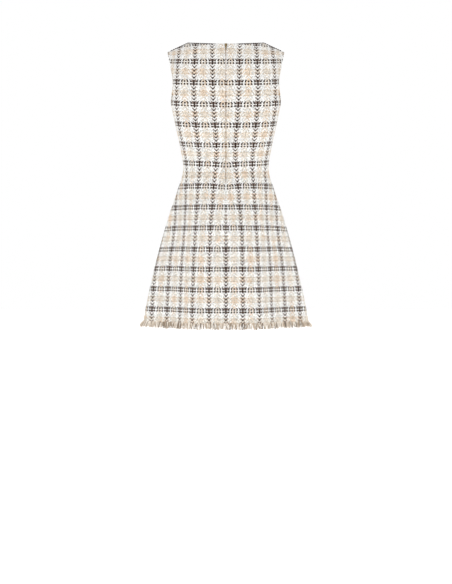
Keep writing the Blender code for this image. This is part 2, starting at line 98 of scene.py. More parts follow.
# The closed tube of the dress, one row for each horizontal section from the underarm to the hem.
# On each face a shell closes at the side seams, and a core adds depth out to the turn, a share of
# the half width. Square and edge say how full the shell is, and lean moves the section along Y.
TUBE_COLUMNS = ("height", "half_width", "back_shell", "back_core", "front_shell", "front_core",
                "square", "edge", "turn", "lean")
TUBE = (
    (-0.188, 0.1690, 0.086, 0.000, 0.095, 0.000, 5.0, 0.26, 0.90, 0.000),
    (-0.245, 0.1570, 0.086, 0.000, 0.098, 0.000, 4.6, 0.29, 0.90, -0.002),
    (-0.320, 0.1412, 0.081, 0.000, 0.089, 0.000, 2.8, 0.40, 0.90, -0.009),
    (-0.383, 0.1335, 0.076, 0.000, 0.079, 0.000, 2.4, 0.50, 0.90, -0.013),
    (-0.445, 0.1510, 0.060, 0.030, 0.070, 0.012, 2.8, 0.58, 0.80, -0.010),
    (-0.520, 0.1765, 0.040, 0.066, 0.056, 0.032, 3.0, 0.60, 0.75, -0.004),
    (-0.600, 0.2000, 0.034, 0.077, 0.042, 0.052, 3.8, 0.54, 0.675, 0.000),
    (-0.700, 0.2265, 0.032, 0.083, 0.035, 0.065, 4.5, 0.52, 0.605, 0.000),
    (-0.800, 0.2485, 0.031, 0.087, 0.032, 0.072, 5.0, 0.50, 0.570, 0.000),
    (-0.864, 0.2610, 0.031, 0.089, 0.031, 0.075, 5.0, 0.50, 0.560, 0.000),
)

# Each half bodice above the underarm, one row for each share of the way to the shoulder seam
RISE_COLUMNS = ("share", "armhole_half_width", "armhole_depth", "middle_depth")
BACK_RISE = (
    (0.000, 0.1690, 0.000, 0.0860),
    (0.012, 0.1695, 0.014, 0.0861),
    (0.040, 0.1702, 0.026, 0.0863),
    (0.090, 0.1706, 0.035, 0.0870),
    (0.160, 0.1705, 0.042, 0.0880),
    (0.250, 0.1690, 0.048, 0.0885),
    (0.400, 0.1662, 0.053, 0.0880),
    (0.500, 0.1662, 0.052, 0.0868),
    (0.620, 0.1695, 0.047, 0.0840),
    (0.760, 0.1745, 0.037, 0.0785),
    (0.900, 0.1795, 0.023, 0.0705),
    (0.970, 0.1820, 0.011, 0.0650),
    (1.000, 0.1830, 0.000, 0.0620),
)
FRONT_RISE = (
    (0.000, 0.1690, 0.000, 0.0950),
    (0.012, 0.1695, 0.014, 0.0949),
    (0.040, 0.1698, 0.026, 0.0945),
    (0.090, 0.1693, 0.034, 0.0935),
    (0.160, 0.1682, 0.040, 0.0920),
    (0.250, 0.1662, 0.045, 0.0898),
    (0.400, 0.1632, 0.049, 0.0855),
    (0.500, 0.1630, 0.048, 0.0822),
    (0.620, 0.1658, 0.043, 0.0780),
    (0.760, 0.1718, 0.034, 0.0730),
    (0.900, 0.1785, 0.021, 0.0680),
    (0.970, 0.1815, 0.010, 0.0650),
    (1.000, 0.1830, 0.000, 0.0635),
)

# The check. Dark rows run around the dress at these heights, top row first. Over the shoulders the
# rows are counted along the cloth, which brings the first one down to the neck edge.
DARK_ROW_HEIGHTS = (0.0200, -0.0451, -0.1107, -0.1779, -0.2427, -0.3044, -0.3621, -0.4320,
                    -0.4970, -0.5610, -0.6277, -0.6892, -0.7543, -0.8187, -0.8840)
# On the back, the first dark stripe and the repeat are measured around the cloth from the centre.
BACK_CHECK_COLUMNS = ("height", "first_stripe", "repeat")
BACK_CHECK = (
    (0.000, 0.0425, 0.0520),
    (-0.060, 0.0418, 0.0560),
    (-0.150, 0.0400, 0.0594),
    (-0.225, 0.0354, 0.0594),
    (-0.264, 0.0323, 0.0592),
    (-0.320, 0.0293, 0.0562),
    (-0.376, 0.0318, 0.0519),
    (-0.433, 0.0379, 0.0502),
    (-0.489, 0.0420, 0.0491),
    (-0.546, 0.0470, 0.0474),
    (-0.602, 0.0500, 0.0477),
    (-0.659, 0.0512, 0.0502),
    (-0.715, 0.0516, 0.0515),
    (-0.790, 0.0526, 0.0524),
    (-0.847, 0.0526, 0.0530),
)
FRONT_REPEAT = 0.0533          # the front is cut on straight grain, a tan band at its middle
# Towards the side seams the rows rise by this much, or sink where it is below 0.
SIDE_LIFT_COLUMNS = ("height", "lift")
SIDE_LIFTS = (
    (0.000, 0.0025),
    (-0.060, 0.0030),
    (-0.180, 0.0050),
    (-0.300, 0.0050),
    (-0.360, 0.0035),
    (-0.430, -0.0035),
    (-0.500, -0.0060),
    (-0.560, -0.0078),
    (-0.627, -0.0055),
    (-0.690, -0.0028),
    (-0.755, -0.0008),
    (-0.820, 0.0000),
)
SIDE_LIFT_POWER = 3.5          # the higher, the nearer to the side seams the lift stays
# Where the shaped centre-back seam cuts the rows off grain, they dip (or rise, below 0) towards it.
# Each dip: its height, its reach up and down, its width and its depth.
CENTRE_DIPS = (
    (-0.178, 0.030, 0.034, 0.0020),
    (-0.400, 0.060, 0.033, 0.0045),
    (0.012, 0.020, 0.040, -0.0045),
)
# Below the waist the centre-back seam takes in part of the dark stripe that runs down along it.
STRIPE_TAKEN = 0.09            # repeats
STRIPE_TAKEN_HEIGHT = -0.592
STRIPE_TAKEN_REACH = 0.036     # up and down from that height
STRIPE_TAKEN_WIDTH = 0.010     # sideways from the seam
SHOULDER_ROLL_FROM = -0.045    # above this height the cloth rolls forward over the shoulder
SHOULDER_REPEAT = 0.058        # length of a repeat there, measured on the cloth
YARNS = 24                     # ends and picks in one repeat
STRIPE_HALF_WIDTH = 3 / YARNS  # of a dark stripe, in repeats
WEAVE_MAP = "weave"

# Soft folds of the tweed. Each fold: its face (1 is the back, -1 the front), x, height, angle from
# +X in degrees, length, width and rise.
FOLDS = (
    (1, 0.096, -0.352, 12, 0.045, 0.011, -0.0016),
    (1, 0.104, -0.392, -6, 0.040, 0.010, -0.0014),
    (1, -0.094, -0.345, 170, 0.050, 0.012, -0.0014),
    (1, -0.108, -0.398, 8, 0.038, 0.010, -0.0017),
    (1, 0.045, -0.418, 3, 0.050, 0.013, -0.0009),
    (1, -0.038, -0.370, -4, 0.046, 0.012, -0.0009),
    (1, 0.118, -0.215, 62, 0.060, 0.014, -0.0016),
    (1, -0.122, -0.225, 116, 0.055, 0.015, -0.0018),
    (1, 0.060, -0.120, 100, 0.060, 0.022, 0.0010),
    (1, -0.066, -0.105, 82, 0.065, 0.022, 0.0010),
    (1, 0.075, -0.700, 96, 0.150, 0.020, 0.0026),
    (1, -0.068, -0.720, 84, 0.140, 0.022, 0.0022),
    (1, 0.030, -0.790, 92, 0.080, 0.018, -0.0016),
    (1, -0.022, -0.760, 88, 0.090, 0.017, -0.0014),
    (1, 0.165, -0.760, 103, 0.110, 0.018, 0.0024),
    (1, -0.172, -0.740, 78, 0.120, 0.018, 0.0028),
    (1, 0.205, -0.820, 106, 0.070, 0.014, -0.0018),
    (1, -0.212, -0.800, 74, 0.080, 0.014, -0.0018),
    (-1, 0.092, -0.356, 10, 0.048, 0.011, -0.0015),
    (-1, -0.099, -0.362, 172, 0.044, 0.012, -0.0016),
    (-1, 0.034, -0.404, 2, 0.050, 0.013, -0.0010),
    (-1, -0.055, -0.420, -5, 0.046, 0.012, -0.0009),
    (-1, 0.126, -0.218, 118, 0.052, 0.014, -0.0020),
    (-1, -0.120, -0.226, 64, 0.055, 0.014, -0.0018),
    (-1, 0.105, -0.150, 40, 0.050, 0.016, 0.0012),
    (-1, -0.108, -0.146, 142, 0.048, 0.016, 0.0012),
    (-1, 0.070, -0.720, 94, 0.140, 0.021, 0.0024),
    (-1, -0.082, -0.700, 86, 0.150, 0.021, 0.0026),
    (-1, 0.010, -0.780, 90, 0.090, 0.018, -0.0016),
    (-1, 0.158, -0.770, 102, 0.100, 0.018, 0.0024),
    (-1, -0.166, -0.750, 80, 0.110, 0.018, 0.0024),
)
FOLD_FADE_POWER = 10           # how late the folds fade out before the side seams

# Frayed hem
STRAND_PITCH = 0.00080         # between two strand roots along a hem edge
STRAND_ROOT_RISE = 0.0015      # the roots start this far inside the hem's edge
STRAND_ROOT_SCATTER = 0.0006   # and stray by this much out of the middle of the cloth
STRAND_BEND = 0.55             # place of a strand's bend, as a share of its length
STRAND_TAPER = 0.25            # how much thinner it ends, as a share
STRAND_THICKNESSES = (0.7, 1.3)           # thinnest and thickest strand, as shares
STRANDS_OF_A_YARN = 3          # neighbours that share a tone
CLUMP_WAVE = (0.031, 1.3)      # length and start of the wave that strands lean in
SMALL_CLUMP_WAVE = (0.0173, 0.0)
SMALL_CLUMP_SHARE = 0.8
CLUMP_LEAN = 0.05              # sideways lean of the clumps, for each unit of a strand's length
STRAND_LEAN = 0.09             # and of single strands, on either side of that
STRAND_STAND = 0.10            # how far single strands stand out of the hem's line
SIDE_SPLAY = 0.42              # sideways lean of the strands at the side seams
SPLAY_FROM = 0.215             # distance from the centre line where that lean begins
SPLAY_TO = 0.262
TONE = 0.74                    # middle tone of the strands, 0 dark to 1 ivory
TONE_WAVE = (0.019, 0.7)
TONE_SWING = 0.10
STRIPE_TONE_DROP = 0.10        # strands that unravel from a dark stripe are darker by this
YARN_TONES = (-0.30, 0.26)     # a yarn's own difference in tone
STRAND_TONES = (-0.60, 0.52)   # and a single strand's
FULLNESS = 0.95                # share of their full length that the strands hang
FULLNESS_WAVE = (0.043, 2.1)
FULLNESS_SWING = 0.05

# Sewing
HEM_STITCH_RISE = 0.006        # the stay stitching runs this far above the hem's edge
NECK_PICK_DROP = 0.0016        # the dark pick runs this far below the neck and shoulder edges
NECK_PICK_FROM = 0.042         # it starts and ends at these distances from the centre line
NECK_PICK_TO = 0.172
NECK_FLOAT_SHARE = 0.70        # length of a float, as a share of the pitch
NECK_FLOAT_THICKNESS = 0.0040
NECK_FLOAT_ARCH = 0.0005
STITCH_SINK = 0.6              # depth of a stitch's two ends in the cloth, as a share of its arch
ZIP_STITCH_PITCH = 0.0032
ZIP_STITCH_LENGTH = 0.0024

# Zip
ZIP_BOTTOM = -0.424
ZIP_CHANNEL = 0.0007           # each side of the cloth stands off the centre line by this
ZIP_CLOSING = 0.012            # the seam closes over this much above and below the zip's end
TAPE_HALF_WIDTH = 0.0110
TAPE_THICKNESS = 0.0008
TAPE_TOP_DROP = 0.003
TAPE_COLUMNS = 6               # faces on each side of the tape's middle
TAPE_STITCH_COLUMN = 4         # the stitching runs this many faces from the middle
COIL_STAND_OFF = 0.0008        # middle of the coil behind the tape
COIL_END_GAP = 0.004           # the coil ends this far above the tape's end
COIL_TOP_GAP = 0.008           # and this far below its top
COIL_OFFSET = 0.55             # sideways place of a loop, as a share of its width
TAPE_EDGE_ANGLE = math.radians(50)        # edges of the tape that turn more than this stay sharp
METAL_EDGE_ANGLE = math.radians(35)
METAL_BEVEL_ANGLE = math.radians(40)      # edges of the metal that turn more than this are bevelled
SLIDER_LENGTH = 0.0090
SLIDER_HALF_WIDTH = 0.0042
SLIDER_TAIL_HALF_WIDTH = 0.0030
SLIDER_THICKNESS = 0.0022
SLIDER_CORNER = 0.0014         # radius of its upper corners
SLIDER_TAIL_CORNER = 0.0010
SLIDER_TAPER_FROM = 0.15       # height where it begins to narrow, as a share of half its length
SLIDER_BEVEL = 0.0003
BRIDGE_INSIDE = 0.0019
BRIDGE_BAR = 0.0008
AXLE_HEIGHT = 0.0010
BRIDGE_SINK = 0.0006
BRIDGE_BEVEL = 0.00015
PULL_THICKNESS = 0.0010
PULL_HALF_WIDTH = 0.0026
PULL_TIP_HALF_WIDTH = 0.0018
PULL_WINDOW_HALF_WIDTH = 0.0014
PULL_WINDOW_LENGTH = 0.0050
PULL_LENGTH = 0.0180
PULL_NECK_DROP = 0.002         # the tab narrows over this much below its window
PULL_NECK_SHARE = 0.80         # width there, as a share of the tab's
PULL_BEVEL = 0.00018

# The photograph's frame: its size in pixels, and the real size of a pixel
PHOTO_WIDTH = 452
PHOTO_HEIGHT = 584
METRES_PER_PIXEL = 0.003150    # at the dress's middle plane
CENTRE_LINE_PIXEL = 225.9      # the photograph's column of the centre-back seam
AIM_HEIGHT = -0.767            # height in the middle of the photograph's frame

# Studio
SENSOR_HEIGHT = 24             # millimetres
VIEW_END = 50                  # the camera sees this far
FLOOR_REACH = 9.0              # from the middle of the floor to its sides
FLOOR_WHITE = 0.9
FLOOR_GLOW = 0.45
LIGHT_TARGET = (0, 0, -0.43)
# Each soft light: its name, place, size and share of the key light's power
SOFT_LIGHTS = (
    ("key", (1.6, 4.2, 1.5), 2.2, 1.0),
    ("fill", (-2.6, 3.4, 0.2), 2.6, 0.35),
    ("front_fill", (0.8, -4.2, 0.9), 2.6, 0.5),
)


def linear(red, green, blue):
    """Scene colour of an 8-bit screen colour."""
    shares = [value / 255 for value in (red, green, blue)]
    return tuple(s / 12.92 if s <= 0.04045 else ((s + 0.055) / 1.055) ** 2.4 for s in shares)


# ---------------------------------------------------------------- tables and sections

def smooth_column(table, names, key, name, at):
    """Read a named column of a table at any value of its key column, along a smooth curve."""
    rows = np.array(table)
    rows = rows[np.argsort(rows[:, names.index(key)])]
    keys = rows[:, names.index(key)]
    values = rows[:, names.index(name)]
    slopes = np.gradient(values, keys)
    here = np.clip(at, keys[0], keys[-1])
    low = np.clip(np.searchsorted(keys, here, side="right") - 1, 0, len(keys) - 2)
    span = keys[low + 1] - keys[low]
    step = (here - keys[low]) / span
    start = values[low] * (2 * step**3 - 3 * step**2 + 1)
    start_slope = slopes[low] * span * (step**3 - 2 * step**2 + step)
    end = values[low + 1] * (3 * step**2 - 2 * step**3)
    end_slope = slopes[low + 1] * span * (step**3 - step**2)
    return start + start_slope + end + end_slope


def tube_size(name, height):
    return float(smooth_column(TUBE, TUBE_COLUMNS, "height", name, height))


def unit(vectors):
    return vectors / np.linalg.norm(vectors, axis=-1, keepdims=True)


def smoothstep(low, high, value):
    share = np.clip((value - low) / (high - low), 0, 1)
    return share * share * (3 - 2 * share)


def half_section(height, side):
    """X, depth and share of the section's length, from its middle to the side seam."""
    share = 1 - (1 - np.linspace(0, 1, SECTION_STEPS)) ** SECTION_CROWDING
    face = "back" if side > 0 else "front"
    turn = tube_size("turn", height)
    core = 1 / (1 + (share / turn) ** CORE_POWER)
    core_at_side = 1 / (1 + (1 / turn) ** CORE_POWER)
    core = (core - core_at_side) / (1 - core_at_side)
    shell = (1 - share ** tube_size("square", height)) ** tube_size("edge", height)
    x = tube_size("half_width", height) * share
    depth = tube_size(face + "_core", height) * core + tube_size(face + "_shell", height) * shell
    length = np.concatenate([[0], np.cumsum(np.hypot(np.diff(x), np.diff(depth)))])
    return x, depth, length / length[-1]


def column_shares():
    """Share of the section's length at each column of points, 0 at the middle."""
    return 1 - (1 - np.linspace(0, 1, HALF_COLUMNS + 1)) ** COLUMN_CROWDING


def tube_row(height, side):
    x, depth, length = half_section(height, side)
    shares = column_shares()
    row = np.zeros((HALF_COLUMNS + 1, 3))
    row[:, 0] = np.interp(shares, length, x)
    row[:, 1] = side * np.interp(shares, length, depth) + tube_size("lean", height)
    row[:, 2] = height
    return row


def top_edge(side):
    """X, depth and height of the panel's top edge: half the neck, then the shoulder seam."""
    steps = np.linspace(0, 1, HALF_COLUMNS + 1)
    neck = np.clip(steps / NECK_SHARE, 0, 1)
    shoulder = np.clip((steps - NECK_SHARE) / (1 - NECK_SHARE), 0, 1)
    rise = BACK_RISE if side > 0 else FRONT_RISE
    middle_depth = rise[-1][RISE_COLUMNS.index("middle_depth")]
    x = NECK_HALF_WIDTH * neck + (SHOULDER_HALF_WIDTH - NECK_HALF_WIDTH) * shoulder
    depth = middle_depth * (1 - neck**2) ** NECK_CURVE
    drop = BACK_NECK_DROP if side > 0 else FRONT_NECK_DROP
    height = NECK_HEIGHT - drop * (1 - neck**2) + (SHOULDER_TIP_HEIGHT - NECK_HEIGHT) * shoulder
    return x, depth, height


def rise_row(share, side):
    """Points of one row between the underarm (share 0) and the top edge (share 1)."""
    rise = BACK_RISE if side > 0 else FRONT_RISE
    half_width = smooth_column(rise, RISE_COLUMNS, "share", "armhole_half_width", share)
    edge_depth = smooth_column(rise, RISE_COLUMNS, "share", "armhole_depth", share)
    middle_depth = smooth_column(rise, RISE_COLUMNS, "share", "middle_depth", share)
    foot = tube_row(UNDERARM_HEIGHT, side)
    foot_width = foot[:, 0] / foot[-1, 0]
    foot_depth = foot[:, 1] / foot[0, 1]
    top_x, top_depth, top_height = top_edge(side)
    spread = share**2 * (3 - 2 * share)
    roll = 1 - (1 - share**SHOULDER_ROLL_POWER) ** SHOULDER_ROLL_SHARPNESS
    width = foot_width * (1 - spread) + top_x / top_x[-1] * spread
    depth = foot_depth * (1 - roll) + top_depth / top_depth[0] * roll
    narrow = ARMHOLE_TURN_POWER * max(0.0, 1 - share / ARMHOLE_TURN_SHARE) ** 2
    lip = column_shares() ** narrow
    row = np.zeros((HALF_COLUMNS + 1, 3))
    row[:, 0] = half_width * width
    row[:, 1] = side * (middle_depth * depth + edge_depth * (1 - depth) * lip)
    row[:, 2] = UNDERARM_HEIGHT + (top_height - UNDERARM_HEIGHT) * share
    return row


def rise_shares():
    return 0.5 - 0.5 * np.cos(math.pi * np.arange(1, RISE_ROWS + 1) / RISE_ROWS)


def half_grid(side):
    """Middle of the cloth from the centre line to the wearer's left edge, hem row first."""
    heights = np.linspace(HEM_HEIGHT, UNDERARM_HEIGHT, TUBE_ROWS + 1)
    rows = [tube_row(height, side) for height in heights]
    rows += [rise_row(share, side) for share in rise_shares()]
    return np.array(rows)


def outward(grid, side):
    """Unit normals of a grid, pointing away from the wearer."""
    return unit(np.cross(np.gradient(grid, axis=0), np.gradient(grid, axis=1)) * side)


def around_the_cloth(grid):
    """Length around the cloth from its middle; over the shoulders the warp runs straight up."""
    steps = np.linalg.norm(np.diff(grid, axis=1), axis=2)
    length = np.concatenate([np.zeros((len(grid), 1)), np.cumsum(steps, axis=1)], axis=1)
    x = grid[:, :, 0]
    for row in range(WARP_ROW + 1, len(grid)):
        length[row] = np.interp(x[row], x[WARP_ROW], length[WARP_ROW])
        length[row] += np.maximum(x[row] - x[WARP_ROW, -1], 0)
    return length


def weave_map(grid, side):
    """Repeats of the check across and up the cloth, whole numbers on dark stripes and dark rows."""
    x = grid[:, :, 0]
    height = grid[:, :, 2]
    length = around_the_cloth(grid)
    if side > 0:
        first = smooth_column(BACK_CHECK, BACK_CHECK_COLUMNS, "height", "first_stripe", height)
        repeat = smooth_column(BACK_CHECK, BACK_CHECK_COLUMNS, "height", "repeat", height)
        across = 1 + (length - first) / repeat
        level = (height - STRIPE_TAKEN_HEIGHT) / STRIPE_TAKEN_REACH
        across += STRIPE_TAKEN * np.exp(-(x / STRIPE_TAKEN_WIDTH) ** 2 - level ** 2)
        dips = CENTRE_DIPS
    else:
        across = 0.5 + length / FRONT_REPEAT        # midway between two stripes at the centre
        dips = ()
    lift = smooth_column(SIDE_LIFTS, SIDE_LIFT_COLUMNS, "height", "lift", height)
    on_cloth = height - lift * (x / x[:, -1:]) ** SIDE_LIFT_POWER
    for dip_height, reach, width, dip in dips:
        on_cloth += dip * np.exp(-(x / width) ** 2 - ((height - dip_height) / reach) ** 2)
    rows = np.array(DARK_ROW_HEIGHTS)[::-1]
    counts = -np.arange(len(rows))[::-1]
    up = np.interp(on_cloth, rows, counts)
    # Over the shoulders the rows are counted along the cloth, which runs forward as it climbs.
    climb = np.diff(height, axis=0)
    run = np.hypot(np.diff(grid[:, :, 1], axis=0), climb)
    beyond = np.where(height[1:] > SHOULDER_ROLL_FROM, run - climb, 0)
    up[1:] += np.cumsum(beyond, axis=0) / SHOULDER_REPEAT
    return np.stack([across, up], axis=2)


# ---------------------------------------------------------------- panels

def fold_relief(grid, side, mirrored, depth):
    """How far the soft folds lift the cloth off its section."""
    x = grid[:, :, 0] * (-1 if mirrored else 1)
    height = grid[:, :, 2]
    relief = np.zeros(x.shape)
    for face, fold_x, fold_height, angle, length, width, rise in FOLDS:
        if face != side:
            continue
        along = math.radians(angle)
        run = (x - fold_x) * math.cos(along) + (height - fold_height) * math.sin(along)
        off = (height - fold_height) * math.cos(along) - (x - fold_x) * math.sin(along)
        relief += rise * depth * np.exp(-(run / length) ** 2 - (off / width) ** 2)
    fade = 1 - column_shares() ** FOLD_FADE_POWER
    return relief * fade[None, :]


def shared_normals(back, front):
    """Normals of both half grids, the same for both along the side and shoulder seams."""
    back_normals = outward(back, 1)
    front_normals = outward(front, -1)
    for seam in ((TUBE_PART, -1), (-1, SHOULDER_PART)):
        shared = unit(back_normals[seam] + front_normals[seam])
        back_normals[seam] = shared
        front_normals[seam] = shared
    for normals in (back_normals, front_normals):
        normals[:, 0, 0] = 0
        normals[:, 0] = unit(normals[:, 0])
    return back_normals, front_normals


def half_panels(fold_depth):
    """Grid, normals and weave map of each half of the back and front, wearer's left and right."""
    back = half_grid(1)
    front = half_grid(-1)
    normals = dict(zip((1, -1), shared_normals(back, front)))
    halves = {}
    for name, side, grid in (("back", 1, back), ("front", -1, front)):
        weave = weave_map(grid, side)
        for mirrored in (False, True):
            relief = fold_relief(grid, side, mirrored, fold_depth)
            if side < 0:
                other = fold_relief(grid, side, not mirrored, fold_depth)
                relief[:, 0] = (relief[:, 0] + other[:, 0]) / 2
            moved = grid + normals[side] * relief[:, :, None]
            moved = leave_seam_gaps(moved, side)
            halves[name, "right" if mirrored else "left"] = (moved, normals[side], weave)
    return halves


def leave_seam_gaps(grid, side):
    """Draw a half panel in by half a gap at its side, shoulder and centre-back seams."""
    drawn = grid.copy()
    seams = (((TUBE_PART, -1), (TUBE_PART, -2)), ((-1, SHOULDER_PART), (-2, SHOULDER_PART)))
    for seam, inside in seams:
        drawn[seam] += unit(grid[inside] - grid[seam]) * SEAM_GAP / 2
    if side > 0:
        opened = smoothstep(ZIP_BOTTOM - ZIP_CLOSING, ZIP_BOTTOM + ZIP_CLOSING, grid[:, 0, 2])
        drawn[:, 0, 0] = SEAM_GAP / 2 + ZIP_CHANNEL * opened
    return drawn


def mirrored_half(half):
    """The wearer's right half, its columns turned so that they still run from right to left."""
    grid, normals, weave = half
    turned = weave[:, ::-1] * np.array([-1, 1])
    return grid[:, ::-1] * TO_THE_RIGHT, normals[:, ::-1] * TO_THE_RIGHT, turned


def whole_panel(left, right):
    """Join two halves at the centre line, where they share a column midway between two stripes."""
    grid, normals, weave = mirrored_half(right)
    turned = (grid, normals, weave + np.array([1, 0]))
    return tuple(np.concatenate([r[:, :-1], l], axis=1) for r, l in zip(turned, left))


def dress_panels(fold_depth):
    """Grid, normals and weave map of the three panels, columns running to the wearer's left."""
    halves = half_panels(fold_depth)
    return {"front": whole_panel(halves["front", "left"], halves["front", "right"]),
            "back_left": halves["back", "left"],
            "back_right": mirrored_half(halves["back", "right"])}


def both_faces(rows, columns):
    """Places of a wall's outer points, and the faces on them and on the inner points after them."""
    index = np.arange(rows * columns).reshape(rows, columns)
    outside = np.stack([index[:-1, :-1], index[:-1, 1:], index[1:, 1:], index[1:, :-1]], axis=2)
    inside = outside[:, :, ::-1] + rows * columns
    return index, outside.reshape(-1, 4).tolist() + inside.reshape(-1, 4).tolist()


def rim_loop(rows, columns):
    """Grid places once around a panel's edge."""
    loop = [(r, 0) for r in range(rows)]
    loop += [(rows - 1, c) for c in range(1, columns)]
    loop += [(r, columns - 1) for r in range(rows - 2, -1, -1)]
    loop += [(0, c) for c in range(columns - 2, 0, -1)]
    return loop


def cloth_shell(name, panel, material):
    """Closed wall of a panel, with rounded edges and the weave map on both faces."""
    grid, normals, weave = panel
    rows, columns = grid.shape[:2]
    loop = rim_loop(rows, columns)
    middle = grid.copy()
    out_of_edge = {}
    for r, c in loop:
        inner = grid[min(max(r, 1), rows - 2), min(max(c, 1), columns - 2)]
        direction = unit(grid[r, c] - inner)
        out_of_edge[r, c] = direction
        middle[r, c] = grid[r, c] - direction * EDGE_ROLL
    half_wall = normals * WALL / 2
    vertices = [(middle + half_wall).reshape(-1, 3), (middle - half_wall).reshape(-1, 3)]
    weaves = [weave.reshape(-1, 2), weave.reshape(-1, 2)]
    index, faces = both_faces(rows, columns)
    rings = [[index[r, c] for r, c in loop]]
    first = 2 * rows * columns
    for angle in RIM_ANGLES:
        over = math.cos(math.radians(angle)) * EDGE_ROLL
        lift = math.sin(math.radians(angle)) * WALL / 2
        ring = [middle[p] + out_of_edge[p] * over + normals[p] * lift for p in loop]
        vertices.append(np.array(ring))
        weaves.append(np.array([weave[p] for p in loop]))
        rings.append(list(range(first, first + len(loop))))
        first += len(loop)
    rings.append([index[r, c] + rows * columns for r, c in loop])
    for upper, lower in zip(rings, rings[1:]):
        for a in range(len(loop)):
            b = (a + 1) % len(loop)
            faces.append((int(upper[a]), int(upper[b]), int(lower[b]), int(lower[a])))
    mesh = bpy.data.meshes.new(name)
    mesh.from_pydata(np.concatenate(vertices).tolist(), [], faces)
    add_weave_map(mesh, np.concatenate(weaves))
    face_out(mesh)
    mesh.shade_smooth()
    return place(name, mesh, material)


def add_weave_map(mesh, weave):
    layer = mesh.uv_layers.new(name=WEAVE_MAP)
    corners = np.empty(len(mesh.loops), dtype=np.int32)
    mesh.loops.foreach_get("vertex_index", corners)
    layer.data.foreach_set("uv", weave[corners].astype(np.float32).ravel())


def face_out(mesh):
    """Turn a closed mesh right side out."""
    work = bmesh.new()
    work.from_mesh(mesh)
    bmesh.ops.recalc_face_normals(work, faces=work.faces)
    if work.calc_volume(signed=True) < 0:
        bmesh.ops.reverse_faces(work, faces=work.faces)
    work.to_mesh(mesh)
    work.free()


def place(name, mesh, material):
    """Link a finished mesh as a piece of the dress."""
    piece = bpy.data.objects.new(name, mesh)
    mesh.materials.clear()
    mesh.materials.append(material)
    bpy.context.scene.collection.objects.link(piece)
    return piece


# ---------------------------------------------------------------- node helpers

# The Mix node's colour sockets, by number because its other kinds share their names
MIX_FIRST = 6
MIX_SECOND = 7
MIX_RESULT = 2


def add_node(tree, kind, **settings):
    node = tree.nodes.new(kind)
    for name, value in settings.items():
        setattr(node, name, value)
    return node


def feed(tree, socket, value):
    if isinstance(value, bpy.types.NodeSocket):
        tree.links.new(value, socket)
    else:
        socket.default_value = value


def calc(tree, operation, *values):
    """One Math node; its values are numbers or sockets."""
    node = add_node(tree, "ShaderNodeMath", operation=operation)
    for socket, value in zip(node.inputs, values):
        feed(tree, socket, value)
    return node.outputs[0]


def blend_colours(tree, share, first, second, mode="MIX"):
    node = add_node(tree, "ShaderNodeMix", data_type="RGBA", blend_type=mode)
    feed(tree, node.inputs["Factor"], share)
    for number, colour in ((MIX_FIRST, first), (MIX_SECOND, second)):
        if not isinstance(colour, bpy.types.NodeSocket):
            colour = (*colour, 1)
        feed(tree, node.inputs[number], colour)
    return node.outputs[MIX_RESULT]


def lightened(tree, colour, light):
    """Colour times a brightness that varies over the piece."""
    lit = add_node(tree, "ShaderNodeCombineColor")
    for socket in lit.inputs:
        feed(tree, socket, light)
    return blend_colours(tree, 1.0, colour, lit.outputs[0], "MULTIPLY")


def grain(tree, scale, detail):
    """Noise on the piece's own Object coordinates, 0 to 1."""
    node = add_node(tree, "ShaderNodeTexNoise")
    tree.links.new(add_node(tree, "ShaderNodeTexCoord").outputs["Object"], node.inputs["Vector"])
    feed(tree, node.inputs["Scale"], scale)
    feed(tree, node.inputs["Detail"], detail)
    return node


def grain_channels(tree, scale, detail):
    """Three independent noises, as the outputs of one node."""
    node = add_node(tree, "ShaderNodeSeparateColor")
    tree.links.new(grain(tree, scale, detail).outputs["Color"], node.inputs[0])
    return node.outputs


def colour_steps(tree, share, stops, interpolation="CONSTANT"):
    """Colour ramp with (place, colour) stops."""
    node = add_node(tree, "ShaderNodeValToRGB")
    ramp = node.color_ramp
    ramp.interpolation = interpolation
    for position, colour in stops[2:]:
        ramp.elements.new(position)
    for element, (position, colour) in zip(ramp.elements, stops):
        element.position = position
        element.color = (*colour, 1)
    feed(tree, node.inputs["Fac"], share)
    return node.outputs["Color"]


def new_finish(name, settings):
    """Material with one Principled shader, and the settings that are the same all over it."""
    material = bpy.data.materials.new(name)
    material.use_nodes = True
    shader = material.node_tree.nodes["Principled BSDF"]
    for socket, value in settings.items():
        shader.inputs[socket].default_value = value
    return material, material.node_tree, shader


def add_bump(tree, shader, height, distance, strength):
    bump = add_node(tree, "ShaderNodeBump")
    bump.inputs["Strength"].default_value = strength
    bump.inputs["Distance"].default_value = distance
    feed(tree, bump.inputs["Height"], height)
    tree.links.new(bump.outputs["Normal"], shader.inputs["Normal"])


# ---------------------------------------------------------------- finishes

# Number of the first yarn of each colour, counted outwards from the middle of a dark stripe
STRIPE_YARNS = ((0, "dark"), (1, "brown"), (3, "ivory"), (8, "tan"))
# and upwards from the middle of the tan band below a dark row
ROW_YARNS = ((0, "tan"), (2, "deep_tan"), (3, "ivory"), (9, "dark"), (11, "ivory"), (12, "dark"),
             (15, "ivory"), (21, "deep_tan"), (22, "tan"))
FLOAT_LENGTH = 2               # yarns that each float passes over, in a twill of twice as many
BEND = 0.8                     # how far the yarns wander in all, in yarns
SLUB = 0.3                     # and how far their uneven spinning moves their edges
FLOAT_ARCH = 0.6               # how much lower a float is at its two ends
TAN_FROM = 7.5                 # yarns of the tan bands lie further from a stripe or row than this
PEACH_PATCHES = (("From Min", 0.48), ("From Max", 0.62), ("To Max", 0.7))
# Painted shade between the yarns: brightness of the weave at the bottom of a gap between floats,
# and what the height of a float adds towards its lighter top
SHADED_GAP_LIGHT = 0.53
FLOAT_TOP_LIGHT = 0.52
# What the other causes add to the brightness, and what is taken off again
YARN_LIGHT = (0.46, 0.22)
FUZZ_LIGHT = (0.16, 0.08)
SLUB_LIGHT = (1.2, 0.58)
FUZZ_HEIGHT = 0.5              # relief of the fuzz, as a share of a float's
